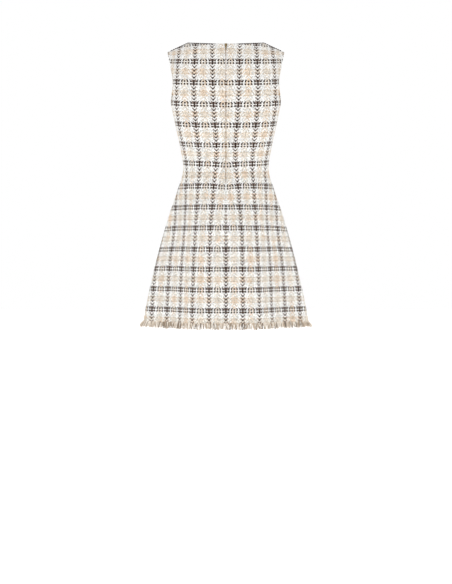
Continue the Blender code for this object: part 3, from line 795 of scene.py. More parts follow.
# Colours of the frayed yarns, from dark to ivory
FRAYED_COLOURS = (
    (0.0, linear(102, 88, 76)), (0.28, linear(156, 138, 118)), (0.52, linear(198, 178, 154)),
    (0.74, linear(220, 206, 190)), (1.0, linear(244, 238, 228)))
FIBRE_LIGHT = (0.5, 0.72)      # what the fibres add to the brightness, and the lowest brightness
TAPE_RIB = 0.0011              # pitch of the tape's ribs
TAPE_CORD = 0.0009             # and of the cords across them
TAPE_SHADE = 0.62              # darker part of each finish, as a share of its colour
THREAD_SHADE = 0.75
GOLD_SHADE = 0.72
GOLD_ROUGHNESS = (("To Min", 0.18), ("To Max", 0.42))


def shaded(colour, share):
    return tuple(value * share for value in colour)


def float_height(tree, cross, along):
    """Height of a float from its place across the yarn and along the float, both 0 to 1."""
    off_middle = calc(tree, "ABSOLUTE", calc(tree, "MULTIPLY_ADD", cross, 2.0, -1.0))
    fall = calc(tree, "POWER", off_middle, 2.0)
    round_over = calc(tree, "SQRT", calc(tree, "SUBTRACT", 1.0, fall))
    arch = calc(tree, "SINE", calc(tree, "MULTIPLY", along, math.pi))
    return calc(tree, "MULTIPLY", round_over,
                calc(tree, "MULTIPLY_ADD", arch, FLOAT_ARCH, 1 - FLOAT_ARCH))


def tweed_finish(yarns):
    """Point twill of thick yarns: dark stripes of chevrons, double dark rows and tan bands."""
    material, tree, shader = new_finish("check_tweed", {
        "Roughness": 0.95, "Sheen Weight": 0.12, "Sheen Roughness": 0.6,
        "Sheen Tint": (*yarns["ivory"], 1), "Specular IOR Level": 0.2})
    on_weave = add_node(tree, "ShaderNodeSeparateXYZ")
    counts = add_node(tree, "ShaderNodeUVMap", uv_map=WEAVE_MAP)
    tree.links.new(counts.outputs[0], on_weave.inputs[0])
    bend = grain_channels(tree, scale=60, detail=3)
    slub = grain_channels(tree, scale=420, detail=2)

    def yarn_count(axis, channel):
        wander = calc(tree, "MULTIPLY_ADD", bend[channel], BEND, -BEND / 2)
        wander = calc(tree, "ADD", wander, -SLUB / 2)
        wander = calc(tree, "MULTIPLY_ADD", slub[channel], SLUB, wander)
        return calc(tree, "MULTIPLY_ADD", on_weave.outputs[axis], YARNS, wander)

    ends = yarn_count("X", 0)
    picks = yarn_count("Y", 1)
    half = YARNS / 2
    from_stripe = calc(tree, "ABSOLUTE", calc(tree, "WRAP", ends, half, -half))
    from_row = calc(tree, "WRAP", picks, half, -half)
    end = calc(tree, "FLOOR", from_stripe)
    end_part = calc(tree, "FRACT", from_stripe)
    pick = calc(tree, "FLOOR", picks)
    pick_part = calc(tree, "FRACT", picks)
    row_pick = calc(tree, "FLOOR", from_row)
    # In a dark row, picks -1 and 0 take the path of the next pick and pick -2 that of the one
    # before, and there the ends from 2 outwards take that of the end nearer the stripe.
    take_next = calc(tree, "COMPARE", row_pick, -0.5, 0.6)
    take_last = calc(tree, "COMPARE", row_pick, -2.0, 0.1)
    pick_path = calc(tree, "ADD", pick, calc(tree, "SUBTRACT", take_next, take_last))
    in_row = calc(tree, "COMPARE", row_pick, -0.5, 2.6)
    take_inner = calc(tree, "MULTIPLY", in_row, calc(tree, "GREATER_THAN", end, 1.5))
    end_path = calc(tree, "SUBTRACT", end, take_inner)
    phase = calc(tree, "FLOORED_MODULO", calc(tree, "SUBTRACT", pick_path, end_path),
                 2 * FLOAT_LENGTH)
    warp_on_top = calc(tree, "LESS_THAN", phase, FLOAT_LENGTH - 0.5)
    weft_on_top = calc(tree, "SUBTRACT", 1.0, warp_on_top)

    warp = colour_steps(tree, calc(tree, "DIVIDE", calc(tree, "ADD", end, 0.5), half),
                        [(first / half, yarns[name]) for first, name in STRIPE_YARNS])
    row_side = calc(tree, "DIVIDE", calc(tree, "ADD", row_pick, half + 0.5), YARNS)
    weft = colour_steps(tree, row_side, [(first / YARNS, yarns[name]) for first, name in ROW_YARNS])
    yarn = blend_colours(tree, warp_on_top, weft, warp)

    row_place = calc(tree, "FLOOR", calc(tree, "ABSOLUTE", from_row))
    yarn_place = calc(tree, "ADD", calc(tree, "MULTIPLY", end, warp_on_top),
                      calc(tree, "MULTIPLY", row_place, weft_on_top))
    patches = add_node(tree, "ShaderNodeMapRange")
    tree.links.new(grain(tree, scale=22, detail=2).outputs["Fac"], patches.inputs["Value"])
    for name, value in PEACH_PATCHES:
        patches.inputs[name].default_value = value
    peach = calc(tree, "MULTIPLY", patches.outputs[0],
                 calc(tree, "GREATER_THAN", yarn_place, TAN_FROM))
    warmer = blend_colours(tree, 1.0, yarn, yarns["peach"], "MULTIPLY")
    yarn = blend_colours(tree, peach, yarn, warmer)

    last = 2 * FLOAT_LENGTH - 1.0
    warp_along = calc(tree, "DIVIDE", calc(tree, "ADD", phase, pick_part), FLOAT_LENGTH)
    weft_along = calc(tree, "ADD", calc(tree, "SUBTRACT", last, phase), end_part)
    weft_along = calc(tree, "DIVIDE", weft_along, FLOAT_LENGTH)
    height = calc(tree, "ADD",
                  calc(tree, "MULTIPLY", float_height(tree, end_part, warp_along), warp_on_top),
                  calc(tree, "MULTIPLY", float_height(tree, pick_part, weft_along), weft_on_top))

    crossing = add_node(tree, "ShaderNodeCombineXYZ")
    tree.links.new(calc(tree, "FLOOR", ends), crossing.inputs[0])
    tree.links.new(pick, crossing.inputs[1])
    chance = add_node(tree, "ShaderNodeTexWhiteNoise", noise_dimensions="2D")
    tree.links.new(crossing.outputs[0], chance.inputs["Vector"])
    fuzz = grain(tree, scale=900, detail=3).outputs["Fac"]
    # painted shade: the colour darkens into the gaps between the floats; the yarns' own tone, fuzz
    # and slubs then vary it at random
    light = calc(tree, "MULTIPLY_ADD", height, FLOAT_TOP_LIGHT, SHADED_GAP_LIGHT)
    for cause, (share, less) in ((chance.outputs["Value"], YARN_LIGHT), (fuzz, FUZZ_LIGHT),
                                 (slub["Blue"], SLUB_LIGHT)):
        light = calc(tree, "MULTIPLY_ADD", cause, share, calc(tree, "SUBTRACT", light, less))
    tree.links.new(lightened(tree, yarn, light), shader.inputs["Base Color"])
    relief = calc(tree, "MULTIPLY_ADD", fuzz, FUZZ_HEIGHT, height)
    add_bump(tree, shader, relief, distance=0.0008, strength=0.8)
    return material


def yarn_finish():
    """Loose strands: each takes a colour between dark and ivory from its shade attribute."""
    material, tree, shader = new_finish("frayed_yarn", {
        "Roughness": 0.95, "Sheen Weight": 0.3, "Sheen Roughness": 0.5})
    shade = add_node(tree, "ShaderNodeAttribute", attribute_name="shade").outputs["Fac"]
    colour = colour_steps(tree, shade, FRAYED_COLOURS, "LINEAR")
    fibre = grain(tree, scale=1400, detail=3).outputs["Fac"]
    light = calc(tree, "MULTIPLY_ADD", fibre, *FIBRE_LIGHT)
    tree.links.new(lightened(tree, colour, light), shader.inputs["Base Color"])
    add_bump(tree, shader, fibre, distance=0.0004, strength=0.7)
    return material


def tape_finish(colour):
    """Narrow woven tape: small blocks where its ribs and the cords across them meet."""
    material, tree, shader = new_finish("woven_tape", {"Roughness": 0.8, "Sheen Weight": 0.1})
    where = add_node(tree, "ShaderNodeSeparateXYZ")
    tree.links.new(add_node(tree, "ShaderNodeTexCoord").outputs["Object"], where.inputs[0])
    ribs = calc(tree, "SINE", calc(tree, "MULTIPLY", where.outputs["Z"], 2 * math.pi / TAPE_RIB))
    cords = calc(tree, "SINE", calc(tree, "MULTIPLY", where.outputs["X"], 2 * math.pi / TAPE_CORD))
    weave = calc(tree, "MULTIPLY_ADD", calc(tree, "MULTIPLY", ribs, cords), 0.5, 0.5)
    tree.links.new(blend_colours(tree, weave, shaded(colour, TAPE_SHADE), colour),
                   shader.inputs["Base Color"])
    add_bump(tree, shader, weave, distance=0.0003, strength=0.7)
    return material


def thread_finish(name, colour):
    """Twisted thread or yarn."""
    material, tree, shader = new_finish(name, {"Roughness": 0.65})
    twist = grain(tree, scale=2600, detail=1).outputs["Fac"]
    tree.links.new(blend_colours(tree, twist, shaded(colour, THREAD_SHADE), colour),
                   shader.inputs["Base Color"])
    add_bump(tree, shader, twist, distance=0.0001, strength=0.5)
    return material


def gold_finish(colour):
    """Polished light gold with fine rubbing on it."""
    material, tree, shader = new_finish("polished_gold", {"Metallic": 1.0})
    rubbed = grain(tree, scale=700, detail=4).outputs["Fac"]
    tree.links.new(blend_colours(tree, rubbed, shaded(colour, GOLD_SHADE), colour),
                   shader.inputs["Base Color"])
    roughness = add_node(tree, "ShaderNodeMapRange")
    tree.links.new(rubbed, roughness.inputs["Value"])
    for name, value in GOLD_ROUGHNESS:
        roughness.inputs[name].default_value = value
    tree.links.new(roughness.outputs[0], shader.inputs["Roughness"])
    add_bump(tree, shader, rubbed, distance=0.00002, strength=0.4)
    return material


# ---------------------------------------------------------------- geometry node trees

def new_tree(name, inputs):
    """Geometry tree with its named inputs, each (name, socket type, default)."""
    tree = bpy.data.node_groups.new(name, "GeometryNodeTree")
    tree.interface.new_socket("Geometry", in_out="INPUT", socket_type="NodeSocketGeometry")
    for label, kind, default in (*inputs, ("Material", "NodeSocketMaterial", None)):
        socket = tree.interface.new_socket(label, in_out="INPUT", socket_type=kind)
        if default is not None:
            socket.default_value = default
    tree.interface.new_socket("Geometry", in_out="OUTPUT", socket_type="NodeSocketGeometry")
    return tree, add_node(tree, "NodeGroupInput"), add_node(tree, "NodeGroupOutput")


def chain(tree, kind, geometry, **inputs):
    """Add a geometry node after a geometry socket and set its other inputs by name."""
    node = add_node(tree, kind)
    tree.links.new(geometry, node.inputs[0])
    for name, value in inputs.items():
        feed(tree, node.inputs[name.replace("_", " ")], value)
    return node


def circle(tree, sides, radius):
    node = add_node(tree, "GeometryNodeCurvePrimitiveCircle")
    node.inputs["Resolution"].default_value = sides
    feed(tree, node.inputs["Radius"], radius)
    return node.outputs[0]


def bent_tube(tree, start, middle, end, radius, taper=0.0, sides=4, steps=4):
    """Tapered tube along a bent line, for a strand or a stitch."""
    line = add_node(tree, "GeometryNodeCurveQuadraticBezier")
    line.inputs["Resolution"].default_value = steps
    for name, value in (("Start", start), ("Middle", middle), ("End", end)):
        feed(tree, line.inputs[name], value)
    along = add_node(tree, "GeometryNodeSplineParameter").outputs["Factor"]
    slim = calc(tree, "SUBTRACT", 1.0, calc(tree, "MULTIPLY", along, taper))
    tube = chain(tree, "GeometryNodeCurveToMesh", line.outputs[0],
                 Profile_Curve=circle(tree, sides, radius=1.0),
                 Scale=calc(tree, "MULTIPLY", slim, radius), Fill_Caps=True)
    return tube.outputs[0]


def random_value(tree, low, high, seed, offset):
    node = add_node(tree, "FunctionNodeRandomValue", data_type="FLOAT")
    floats = [socket for socket in node.inputs if socket.type == "VALUE"]
    feed(tree, floats[0], low)
    feed(tree, floats[1], high)
    feed(tree, node.inputs["Seed"], calc(tree, "ADD", seed, offset))
    return [socket for socket in node.outputs if socket.type == "VALUE"][0]


def stored(tree, name, kind="FLOAT"):
    """An attribute that the points of the path carry."""
    node = add_node(tree, "GeometryNodeInputNamedAttribute", data_type=kind)
    node.inputs["Name"].default_value = name
    return node.outputs["Attribute"]


def combine(tree, x, y, z):
    node = add_node(tree, "ShaderNodeCombineXYZ")
    for socket, value in zip(node.inputs, (x, y, z)):
        feed(tree, socket, value)
    return node.outputs[0]


def aligned(tree, axis, vector, rotation=None):
    node = add_node(tree, "FunctionNodeAlignRotationToVector", axis=axis)
    if rotation is not None:
        feed(tree, node.inputs["Rotation"], rotation)
    feed(tree, node.inputs["Vector"], vector)
    return node.outputs[0]


def evenly_spaced(tree, given):
    """The path as a line of points at the tree's pitch."""
    line = chain(tree, "GeometryNodeMeshToCurve", given["Geometry"])
    evenly = add_node(tree, "GeometryNodeResampleCurve", mode="LENGTH")
    tree.links.new(line.outputs[0], evenly.inputs["Curve"])
    feed(tree, evenly.inputs["Length"], given["Pitch"])
    return evenly.outputs[0]


def finish_tree(tree, geometry, given, output):
    """Realize the instances, give them their material and send them out."""
    real = chain(tree, "GeometryNodeRealizeInstances", geometry)
    smooth = chain(tree, "GeometryNodeSetShadeSmooth", real.outputs[0])
    coated = chain(tree, "GeometryNodeSetMaterial", smooth.outputs[0], Material=given["Material"])
    tree.links.new(coated.outputs[0], output.inputs[0])


def strands_tree():
    """Loose yarn ends that hang from a line of root points along their hang attribute."""
    tree, group, output = new_tree("frayed_strands", (
        ("Length", "NodeSocketFloat", 0.017), ("Shortest", "NodeSocketFloat", 0.6),
        ("Thickness", "NodeSocketFloat", 0.0013), ("Curl", "NodeSocketFloat", 0.003),
        ("Spread", "NodeSocketFloat", 0.25), ("Seed", "NodeSocketInt", 5)))
    given = group.outputs
    seed = given["Seed"]
    strand = bent_tube(tree, (0, 0, 0), combine(tree, given["Curl"], 0.0, STRAND_BEND), (0, 0, 1),
                       calc(tree, "MULTIPLY", given["Thickness"], 0.5), STRAND_TAPER, sides=6)
    spread = given["Spread"]
    low = calc(tree, "MULTIPLY", spread, -1.0)
    stray = combine(tree, random_value(tree, low, spread, seed, 1),
                    random_value(tree, low, spread, seed, 2), 0.0)
    lean = add_node(tree, "ShaderNodeVectorMath", operation="ADD")
    feed(tree, lean.inputs[0], stored(tree, "hang", "FLOAT_VECTOR"))
    feed(tree, lean.inputs[1], stray)
    spin = add_node(tree, "FunctionNodeAxisAngleToRotation")
    spin.inputs["Axis"].default_value = (0, 0, 1)
    feed(tree, spin.inputs["Angle"], random_value(tree, 0.0, 2 * math.pi, seed, 3))
    length = calc(tree, "MULTIPLY", given["Length"],
                  random_value(tree, given["Shortest"], 1.0, seed, 4))
    length = calc(tree, "MULTIPLY", length, stored(tree, "fullness"))
    thick = random_value(tree, *STRAND_THICKNESSES, seed, 6)
    hung = chain(tree, "GeometryNodeInstanceOnPoints", given["Geometry"], Instance=strand,
                 Rotation=aligned(tree, "Z", lean.outputs[0], spin.outputs[0]),
                 Scale=combine(tree, thick, thick, length))
    toned = add_node(tree, "GeometryNodeStoreNamedAttribute", data_type="FLOAT", domain="INSTANCE")
    tree.links.new(hung.outputs[0], toned.inputs["Geometry"])
    toned.inputs["Name"].default_value = "shade"
    shade = calc(tree, "ADD", random_value(tree, *STRAND_TONES, seed, 5), stored(tree, "tone"))
    feed(tree, toned.inputs["Value"], shade)
    finish_tree(tree, toned.outputs[0], given, output)
    return tree


def stitches_tree():
    """Stitches that follow a line, standing on the side of its outward attribute."""
    tree, group, output = new_tree("running_stitches", (
        ("Pitch", "NodeSocketFloat", 0.0042), ("Stitch Length", "NodeSocketFloat", 0.0031),
        ("Thread", "NodeSocketFloat", 0.00045), ("Arch", "NodeSocketFloat", 0.0005)))
    given = group.outputs
    half = calc(tree, "MULTIPLY", given["Stitch Length"], 0.5)
    sink = calc(tree, "MULTIPLY", given["Arch"], -STITCH_SINK)
    top = calc(tree, "MULTIPLY", given["Arch"], 2.0)
    stitch = bent_tube(tree, combine(tree, calc(tree, "MULTIPLY", half, -1.0), 0.0, sink),
                       combine(tree, 0.0, 0.0, top), combine(tree, half, 0.0, sink),
                       calc(tree, "MULTIPLY", given["Thread"], 0.5))
    along = aligned(tree, "X", add_node(tree, "GeometryNodeInputTangent").outputs[0])
    sewn = chain(tree, "GeometryNodeInstanceOnPoints", evenly_spaced(tree, given), Instance=stitch,
                 Rotation=aligned(tree, "Z", stored(tree, "outward", "FLOAT_VECTOR"), along))
    finish_tree(tree, sewn.outputs[0], given, output)
    return tree


def coil_tree():
    """Closed zip coil: flat loops set across a line, every second one from the other side."""
    tree, group, output = new_tree("zip_coil_loops", (
        ("Pitch", "NodeSocketFloat", 0.0007), ("Loop Width", "NodeSocketFloat", 0.0017),
        ("Loop Depth", "NodeSocketFloat", 0.0007), ("Wire", "NodeSocketFloat", 0.0005)))
    given = group.outputs
    oval = chain(tree, "GeometryNodeTransform", circle(tree, sides=8, radius=1.0),
                 Scale=combine(tree, given["Loop Width"], given["Loop Depth"], 1.0))
    wire_radius = calc(tree, "MULTIPLY", given["Wire"], 0.5)
    wire = chain(tree, "GeometryNodeCurveToMesh", oval.outputs[0],
                 Profile_Curve=circle(tree, sides=4, radius=wire_radius))
    index = add_node(tree, "GeometryNodeInputIndex").outputs[0]
    side = calc(tree, "MULTIPLY_ADD", calc(tree, "FLOORED_MODULO", index, 2.0), 2.0, -1.0)
    offset = calc(tree, "MULTIPLY", side, calc(tree, "MULTIPLY", given["Loop Width"], COIL_OFFSET))
    beside = chain(tree, "GeometryNodeSetPosition", evenly_spaced(tree, given),
                   Offset=combine(tree, offset, 0.0, 0.0))
    upright = aligned(tree, "Z", add_node(tree, "GeometryNodeInputTangent").outputs[0])
    facing = aligned(tree, "Y", stored(tree, "outward", "FLOAT_VECTOR"), upright)
    loops = chain(tree, "GeometryNodeInstanceOnPoints", beside.outputs[0], Instance=wire.outputs[0],
                  Rotation=facing)
    finish_tree(tree, loops.outputs[0], given, output)
    return tree


def grown(name, points, attributes, tree, settings):
    """Run a tree on a line of points and keep what it makes as a plain mesh."""
    path = bpy.data.meshes.new(name + "_path")
    steps = [(number, number + 1) for number in range(len(points) - 1)]
    path.from_pydata([tuple(point) for point in points], steps, [])
    for label, values in attributes.items():
        values = np.asarray(values, dtype=np.float32)
        kind, field = ("FLOAT", "value") if values.ndim == 1 else ("FLOAT_VECTOR", "vector")
        path.attributes.new(label, kind, "POINT").data.foreach_set(field, values.ravel())
    source = bpy.data.objects.new(name + "_path", path)
    bpy.context.scene.collection.objects.link(source)
    modifier = source.modifiers.new(tree.name, "NODES")
    modifier.node_group = tree
    sockets = {item.name: item.identifier for item in tree.interface.items_tree
               if item.in_out == "INPUT"}
    for label, value in settings.items():
        modifier[sockets[label]] = value
    source.update_tag()
    graph = bpy.context.evaluated_depsgraph_get()
    mesh = bpy.data.meshes.new_from_object(source.evaluated_get(graph), depsgraph=graph)
    mesh.name = name
    if len(mesh.polygons) == 0:
        raise RuntimeError(name + " has no faces")
    bpy.data.objects.remove(source, do_unlink=True)
    mesh.polygons.foreach_set("material_index", np.zeros(len(mesh.polygons), dtype=np.int32))
    return place(name, mesh, settings["Material"])


# ---------------------------------------------------------------- settings

class DressCloth(bpy.types.PropertyGroup):
    """Yarns and folds of the tweed."""
    ivory: bpy.props.FloatVectorProperty(
        name="Ivory yarn", description="Ground colour of the tweed",
        subtype="COLOR", min=0, max=1, default=linear(237, 236, 233))
    dark: bpy.props.FloatVectorProperty(
        name="Dark yarn", description="Colour of the dark stripes and rows",
        subtype="COLOR", min=0, max=1, default=linear(48, 33, 26))
    brown: bpy.props.FloatVectorProperty(
        name="Brown yarn", description="Colour of the yarns beside the middle of a dark stripe",
        subtype="COLOR", min=0, max=1, default=linear(132, 117, 108))
    tan: bpy.props.FloatVectorProperty(
        name="Tan yarn", description="Colour of the tan bands",
        subtype="COLOR", min=0, max=1, default=linear(223, 213, 199))
    deep_tan: bpy.props.FloatVectorProperty(
        name="Deep tan yarn", description="Colour of the darker lines within the tan bands",
        subtype="COLOR", min=0, max=1, default=linear(204, 188, 167))
    peach: bpy.props.FloatVectorProperty(
        name="Peach cast", description="Tint of the warmer patches",
        subtype="COLOR", min=0, max=1, default=linear(255, 238, 222))
    fold_depth: bpy.props.FloatProperty(
        name="Fold depth", description="Depth of the soft folds, 1 as worn",
        subtype="FACTOR", min=0, max=2, default=1)
    float_pitch: bpy.props.FloatProperty(
        name="Float pitch", description="Distance between two floats of the dark pick at the neck",
        subtype="DISTANCE", min=0.003, max=0.02, default=0.0070)


class DressHem(bpy.types.PropertyGroup):
    """Frayed hem and its stay stitching."""
    strand_length: bpy.props.FloatProperty(
        name="Strand length", description="Length of the longest yarn ends",
        subtype="DISTANCE", min=0.004, max=0.03, default=0.0238)
    shortest: bpy.props.FloatProperty(
        name="Shortest strand",
        description="Length of the shortest yarn ends, as a share of the longest",
        subtype="FACTOR", min=0.1, max=1, default=0.78)
    spread: bpy.props.FloatProperty(
        name="Spread", description="How far the yarn ends stray from hanging straight",
        subtype="FACTOR", min=0, max=1, default=0.16)
    strand_thickness: bpy.props.FloatProperty(
        name="Strand thickness", description="Thickness of a yarn end at its root",
        subtype="DISTANCE", min=0.0004, max=0.003, default=0.0018)
    stitch_pitch: bpy.props.FloatProperty(
        name="Stitch pitch", description="Distance between two stay stitches",
        subtype="DISTANCE", min=0.002, max=0.01, default=0.0042)
    seed: bpy.props.IntProperty(
        name="Seed", description="Arrangement of the loose strands", min=0, default=5)


class DressZip(bpy.types.PropertyGroup):
    """Concealed zip at the centre back."""
    tape: bpy.props.FloatVectorProperty(
        name="Tape", description="Colour of the zip tape",
        subtype="COLOR", min=0, max=1, default=linear(184, 140, 92))
    gold: bpy.props.FloatVectorProperty(
        name="Gold", description="Colour of the slider and its pull",
        subtype="COLOR", min=0, max=1, default=linear(152, 130, 96))
    thread: bpy.props.FloatVectorProperty(
        name="Thread", description="Colour of the sewing thread",
        subtype="COLOR", min=0, max=1, default=linear(236, 228, 212))


class DressStudio(bpy.types.PropertyGroup):
    """Camera and light."""
    distance: bpy.props.FloatProperty(
        name="Camera distance", description="From the camera to the dress",
        subtype="DISTANCE", min=2, max=20, default=8.5)
    camera_height: bpy.props.FloatProperty(
        name="Camera height", description="Height of the camera, from the shoulders",
        subtype="DISTANCE", min=-2, max=2, default=-0.30)
    floor_height: bpy.props.FloatProperty(
        name="Floor height", description="Height of the floor a wearer would stand on",
        subtype="DISTANCE", min=-3, max=-0.9, default=-1.38)
    ambient: bpy.props.FloatProperty(
        name="Ambient light", description="Strength of the white light all around",
        min=0, max=3, default=1.0)
    key_power: bpy.props.FloatProperty(
        name="Key light", description="Power of the large soft light",
        subtype="POWER", min=0, max=500, default=20)


# ---------------------------------------------------------------- operators

def yarn_colours(settings):
    names = ("ivory", "dark", "brown", "tan", "deep_tan", "peach")
    return {name: tuple(getattr(settings, name)) for name in names}


def shared_tweed(context):
    cloth = context.scene.dress_cloth
    return bpy.data.materials.get("check_tweed") or tweed_finish(yarn_colours(cloth))


def shared_thread(context):
    return bpy.data.materials.get("sewing_thread") or thread_finish(
        "sewing_thread", tuple(context.scene.dress_zip.thread))


def declare(piece, body="dress", node=None):
    """Attach a piece to the empty of the body that carries it, and hide the part node it stands
    for, if any.
    """
    if node:
        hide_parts(node)
    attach(piece, body)


def line_lengths(points):
    """Length along a line at each of its points."""
    steps = np.linalg.norm(np.diff(points, axis=0), axis=1)
    return np.concatenate([[0], np.cumsum(steps)])


def dress_panel(name, node, panel, material):
    """One panel of cloth, attached to the dress in place of the part node it stands for."""
    piece = cloth_shell(name, panel, material)
    declare(piece, node=node)


class DRESS_OT_front(bpy.types.Operator):
    """Front panel, cut on the fold"""
    bl_idname = "dress.front"
    bl_label = "Front Panel"

    def execute(self, context):
        panels = dress_panels(context.scene.dress_cloth.fold_depth)
        dress_panel("front_tweed", "front", panels["front"], shared_tweed(context))
        return {"FINISHED"}


class DRESS_OT_back(bpy.types.Operator):
    """Left and right back panels with their shaped centre seam"""
    bl_idname = "dress.back"
    bl_label = "Back Panels"

    def execute(self, context):
        panels = dress_panels(context.scene.dress_cloth.fold_depth)
        for node in ("back_left", "back_right"):
            dress_panel(node + "_tweed", node, panels[node], shared_tweed(context))
        return {"FINISHED"}


def hem_edges(fold_depth):
    """Hem edge of each panel: points, outward normals, hanging direction and weave place."""
    edges = {}
    for name, (grid, normals, weave) in dress_panels(fold_depth).items():
        edges[name] = (grid[0], normals[0], unit(grid[0] - grid[1]), weave[0, :, 0])
    return edges


def evenly_along(edge, pitch):
    """A hem edge read at an even pitch, and the length along it of each place."""
    length = line_lengths(edge[0])
    count = int(length[-1] / pitch)
    where = (np.arange(count) + 0.5) * length[-1] / count

    def read(values):
        if values.ndim == 1:
            return np.interp(where, length, values)
        return np.stack([np.interp(where, length, column) for column in values.T], axis=1)

    return [read(values) for values in edge], where


def wave(where, wave_length, start):
    return np.sin(where * 2 * math.pi / wave_length + start)


class DRESS_OT_fringe(bpy.types.Operator):
    """Frayed hem: the panels' own loose yarn ends"""
    bl_idname = "dress.fringe"
    bl_label = "Frayed Hem"

    def execute(self, context):
        hem = context.scene.dress_hem
        tree = strands_tree()
        yarn = yarn_finish()
        edges = hem_edges(context.scene.dress_cloth.fold_depth)
        for number, (name, edge) in enumerate(edges.items()):
            (points, normals, hang, across), where = evenly_along(edge, STRAND_PITCH)
            count = len(where)
            draw = np.random.default_rng(hem.seed + number)
            clump = wave(where, *CLUMP_WAVE) + SMALL_CLUMP_SHARE * wave(where, *SMALL_CLUMP_WAVE)
            sideways = unit(np.cross(normals, hang))
            lean = sideways * (CLUMP_LEAN * clump + STRAND_LEAN * draw.normal(size=count))[:, None]
            x = points[:, 0]
            lean[:, 0] += SIDE_SPLAY * smoothstep(SPLAY_FROM, SPLAY_TO, np.abs(x)) * np.sign(x)
            stand = normals * (STRAND_STAND * draw.normal(size=count))[:, None]
            on_stripe = np.abs((across + 0.5) % 1 - 0.5) < STRIPE_HALF_WIDTH
            tone = TONE + TONE_SWING * wave(where, *TONE_WAVE) - STRIPE_TONE_DROP * on_stripe
            yarn_tones = draw.uniform(*YARN_TONES, count // STRANDS_OF_A_YARN + 1)
            tone += yarn_tones.repeat(STRANDS_OF_A_YARN)[:count]
            scatter = draw.uniform(-STRAND_ROOT_SCATTER, STRAND_ROOT_SCATTER, count)[:, None]
            roots = points - hang * STRAND_ROOT_RISE + normals * scatter
            carried = {"hang": hang + lean + stand, "tone": tone,
                       "fullness": FULLNESS + FULLNESS_SWING * wave(where, *FULLNESS_WAVE)}
            piece = grown("fringe_" + name + "_yarn", roots, carried, tree, {
                "Length": hem.strand_length, "Shortest": hem.shortest,
                "Thickness": hem.strand_thickness, "Spread": hem.spread,
                "Seed": hem.seed + number, "Material": yarn})
            declare(piece, node="fringe_" + name)
        return {"FINISHED"}


class DRESS_OT_hem_stitches(bpy.types.Operator):
    """Stay stitching just above the frayed edge"""
    bl_idname = "dress.hem_stitches"
    bl_label = "Hem Stitches"

    def execute(self, context):
        tree = stitches_tree()
        sewn = {"Pitch": context.scene.dress_hem.stitch_pitch, "Material": shared_thread(context)}
        for name, edge in hem_edges(context.scene.dress_cloth.fold_depth).items():
            points, normals, hang = edge[:3]
            line = points - hang * HEM_STITCH_RISE + normals * WALL / 2
            piece = grown("hem_stitches_" + name, line[1:-1], {"outward": normals[1:-1]},
                          tree, sewn)
            declare(piece)
        return {"FINISHED"}


def neck_pick_line(grid, normals):
    """Points and normals of the dark pick that shows along the neck edge and the shoulder seam."""
    line = []
    out = []
    for column, over in zip(grid[TUBE_ROWS:].swapaxes(0, 1), normals[TUBE_ROWS:].swapaxes(0, 1)):
        heights = column[:, 2]
        at = heights[-1] - NECK_PICK_DROP
        point = [np.interp(at, heights, values) for values in column.T]
        if NECK_PICK_FROM < abs(point[0]) < NECK_PICK_TO:
            line.append(point)
            out.append([np.interp(at, heights, values) for values in over.T])
    return np.array(line), unit(np.array(out))


class DRESS_OT_neck_picks(bpy.types.Operator):
    """Thick dark pick whose floats dot the back's neck and shoulder edges"""
    bl_idname = "dress.neck_picks"
    bl_label = "Neck Picks"

    def execute(self, context):
        cloth = context.scene.dress_cloth
        panels = dress_panels(cloth.fold_depth)
        tree = stitches_tree()
        floats = {"Pitch": cloth.float_pitch, "Stitch Length": cloth.float_pitch * NECK_FLOAT_SHARE,
                  "Thread": NECK_FLOAT_THICKNESS, "Arch": NECK_FLOAT_ARCH,
                  "Material": thread_finish("dark_yarn", tuple(cloth.dark))}
        for side in ("left", "right"):
            line, out = neck_pick_line(*panels["back_" + side][:2])
            piece = grown("neck_pick_" + side, line + out * WALL / 2, {"outward": out},
                          tree, floats)
            declare(piece)
        return {"FINISHED"}


def centre_back_line(offset):
    """Points and normals down the centre back, this far behind the inner face of the cloth."""
    grid, normals = dress_panels(0)["back_left"][:2]
    return grid[:, 0] * ON_CENTRE - normals[:, 0] * (WALL / 2 + offset), normals[:, 0]


def zip_rows(offset):
    """Rows of the tape's points behind the cloth, from right to left."""
    grid, normals = dress_panels(0)["back_left"][:2]
    inner = grid - normals * (WALL / 2 + offset)
    keep = (grid[:, 0, 2] > ZIP_BOTTOM) & (grid[:, 0, 2] < grid[-1, 0, 2] - TAPE_TOP_DROP)
    rows = []
    for row in inner[keep]:
        half = []
        for x in np.linspace(0, TAPE_HALF_WIDTH, TAPE_COLUMNS + 1):
            half.append([x, np.interp(x, row[:, 0], row[:, 1]), row[0, 2]])
        half = np.array(half)
        rows.append(np.concatenate([half[:0:-1] * TO_THE_RIGHT, half]))
    return np.array(rows)


def wall(name, outer, inner, material):
    """Closed thin wall between two grids of points."""
    rows, columns = outer.shape[:2]
    index, faces = both_faces(rows, columns)
    loop = [int(index[p]) for p in rim_loop(rows, columns)]
    for a, b in zip(loop, loop[1:] + loop[:1]):
        faces.append((a, b, b + rows * columns, a + rows * columns))
    mesh = bpy.data.meshes.new(name)
    points = np.concatenate([outer.reshape(-1, 3), inner.reshape(-1, 3)])
    mesh.from_pydata(points.tolist(), [], faces)
    face_out(mesh)
    mesh.shade_smooth()
    mesh.set_sharp_from_angle(angle=TAPE_EDGE_ANGLE)
    return place(name, mesh, material)


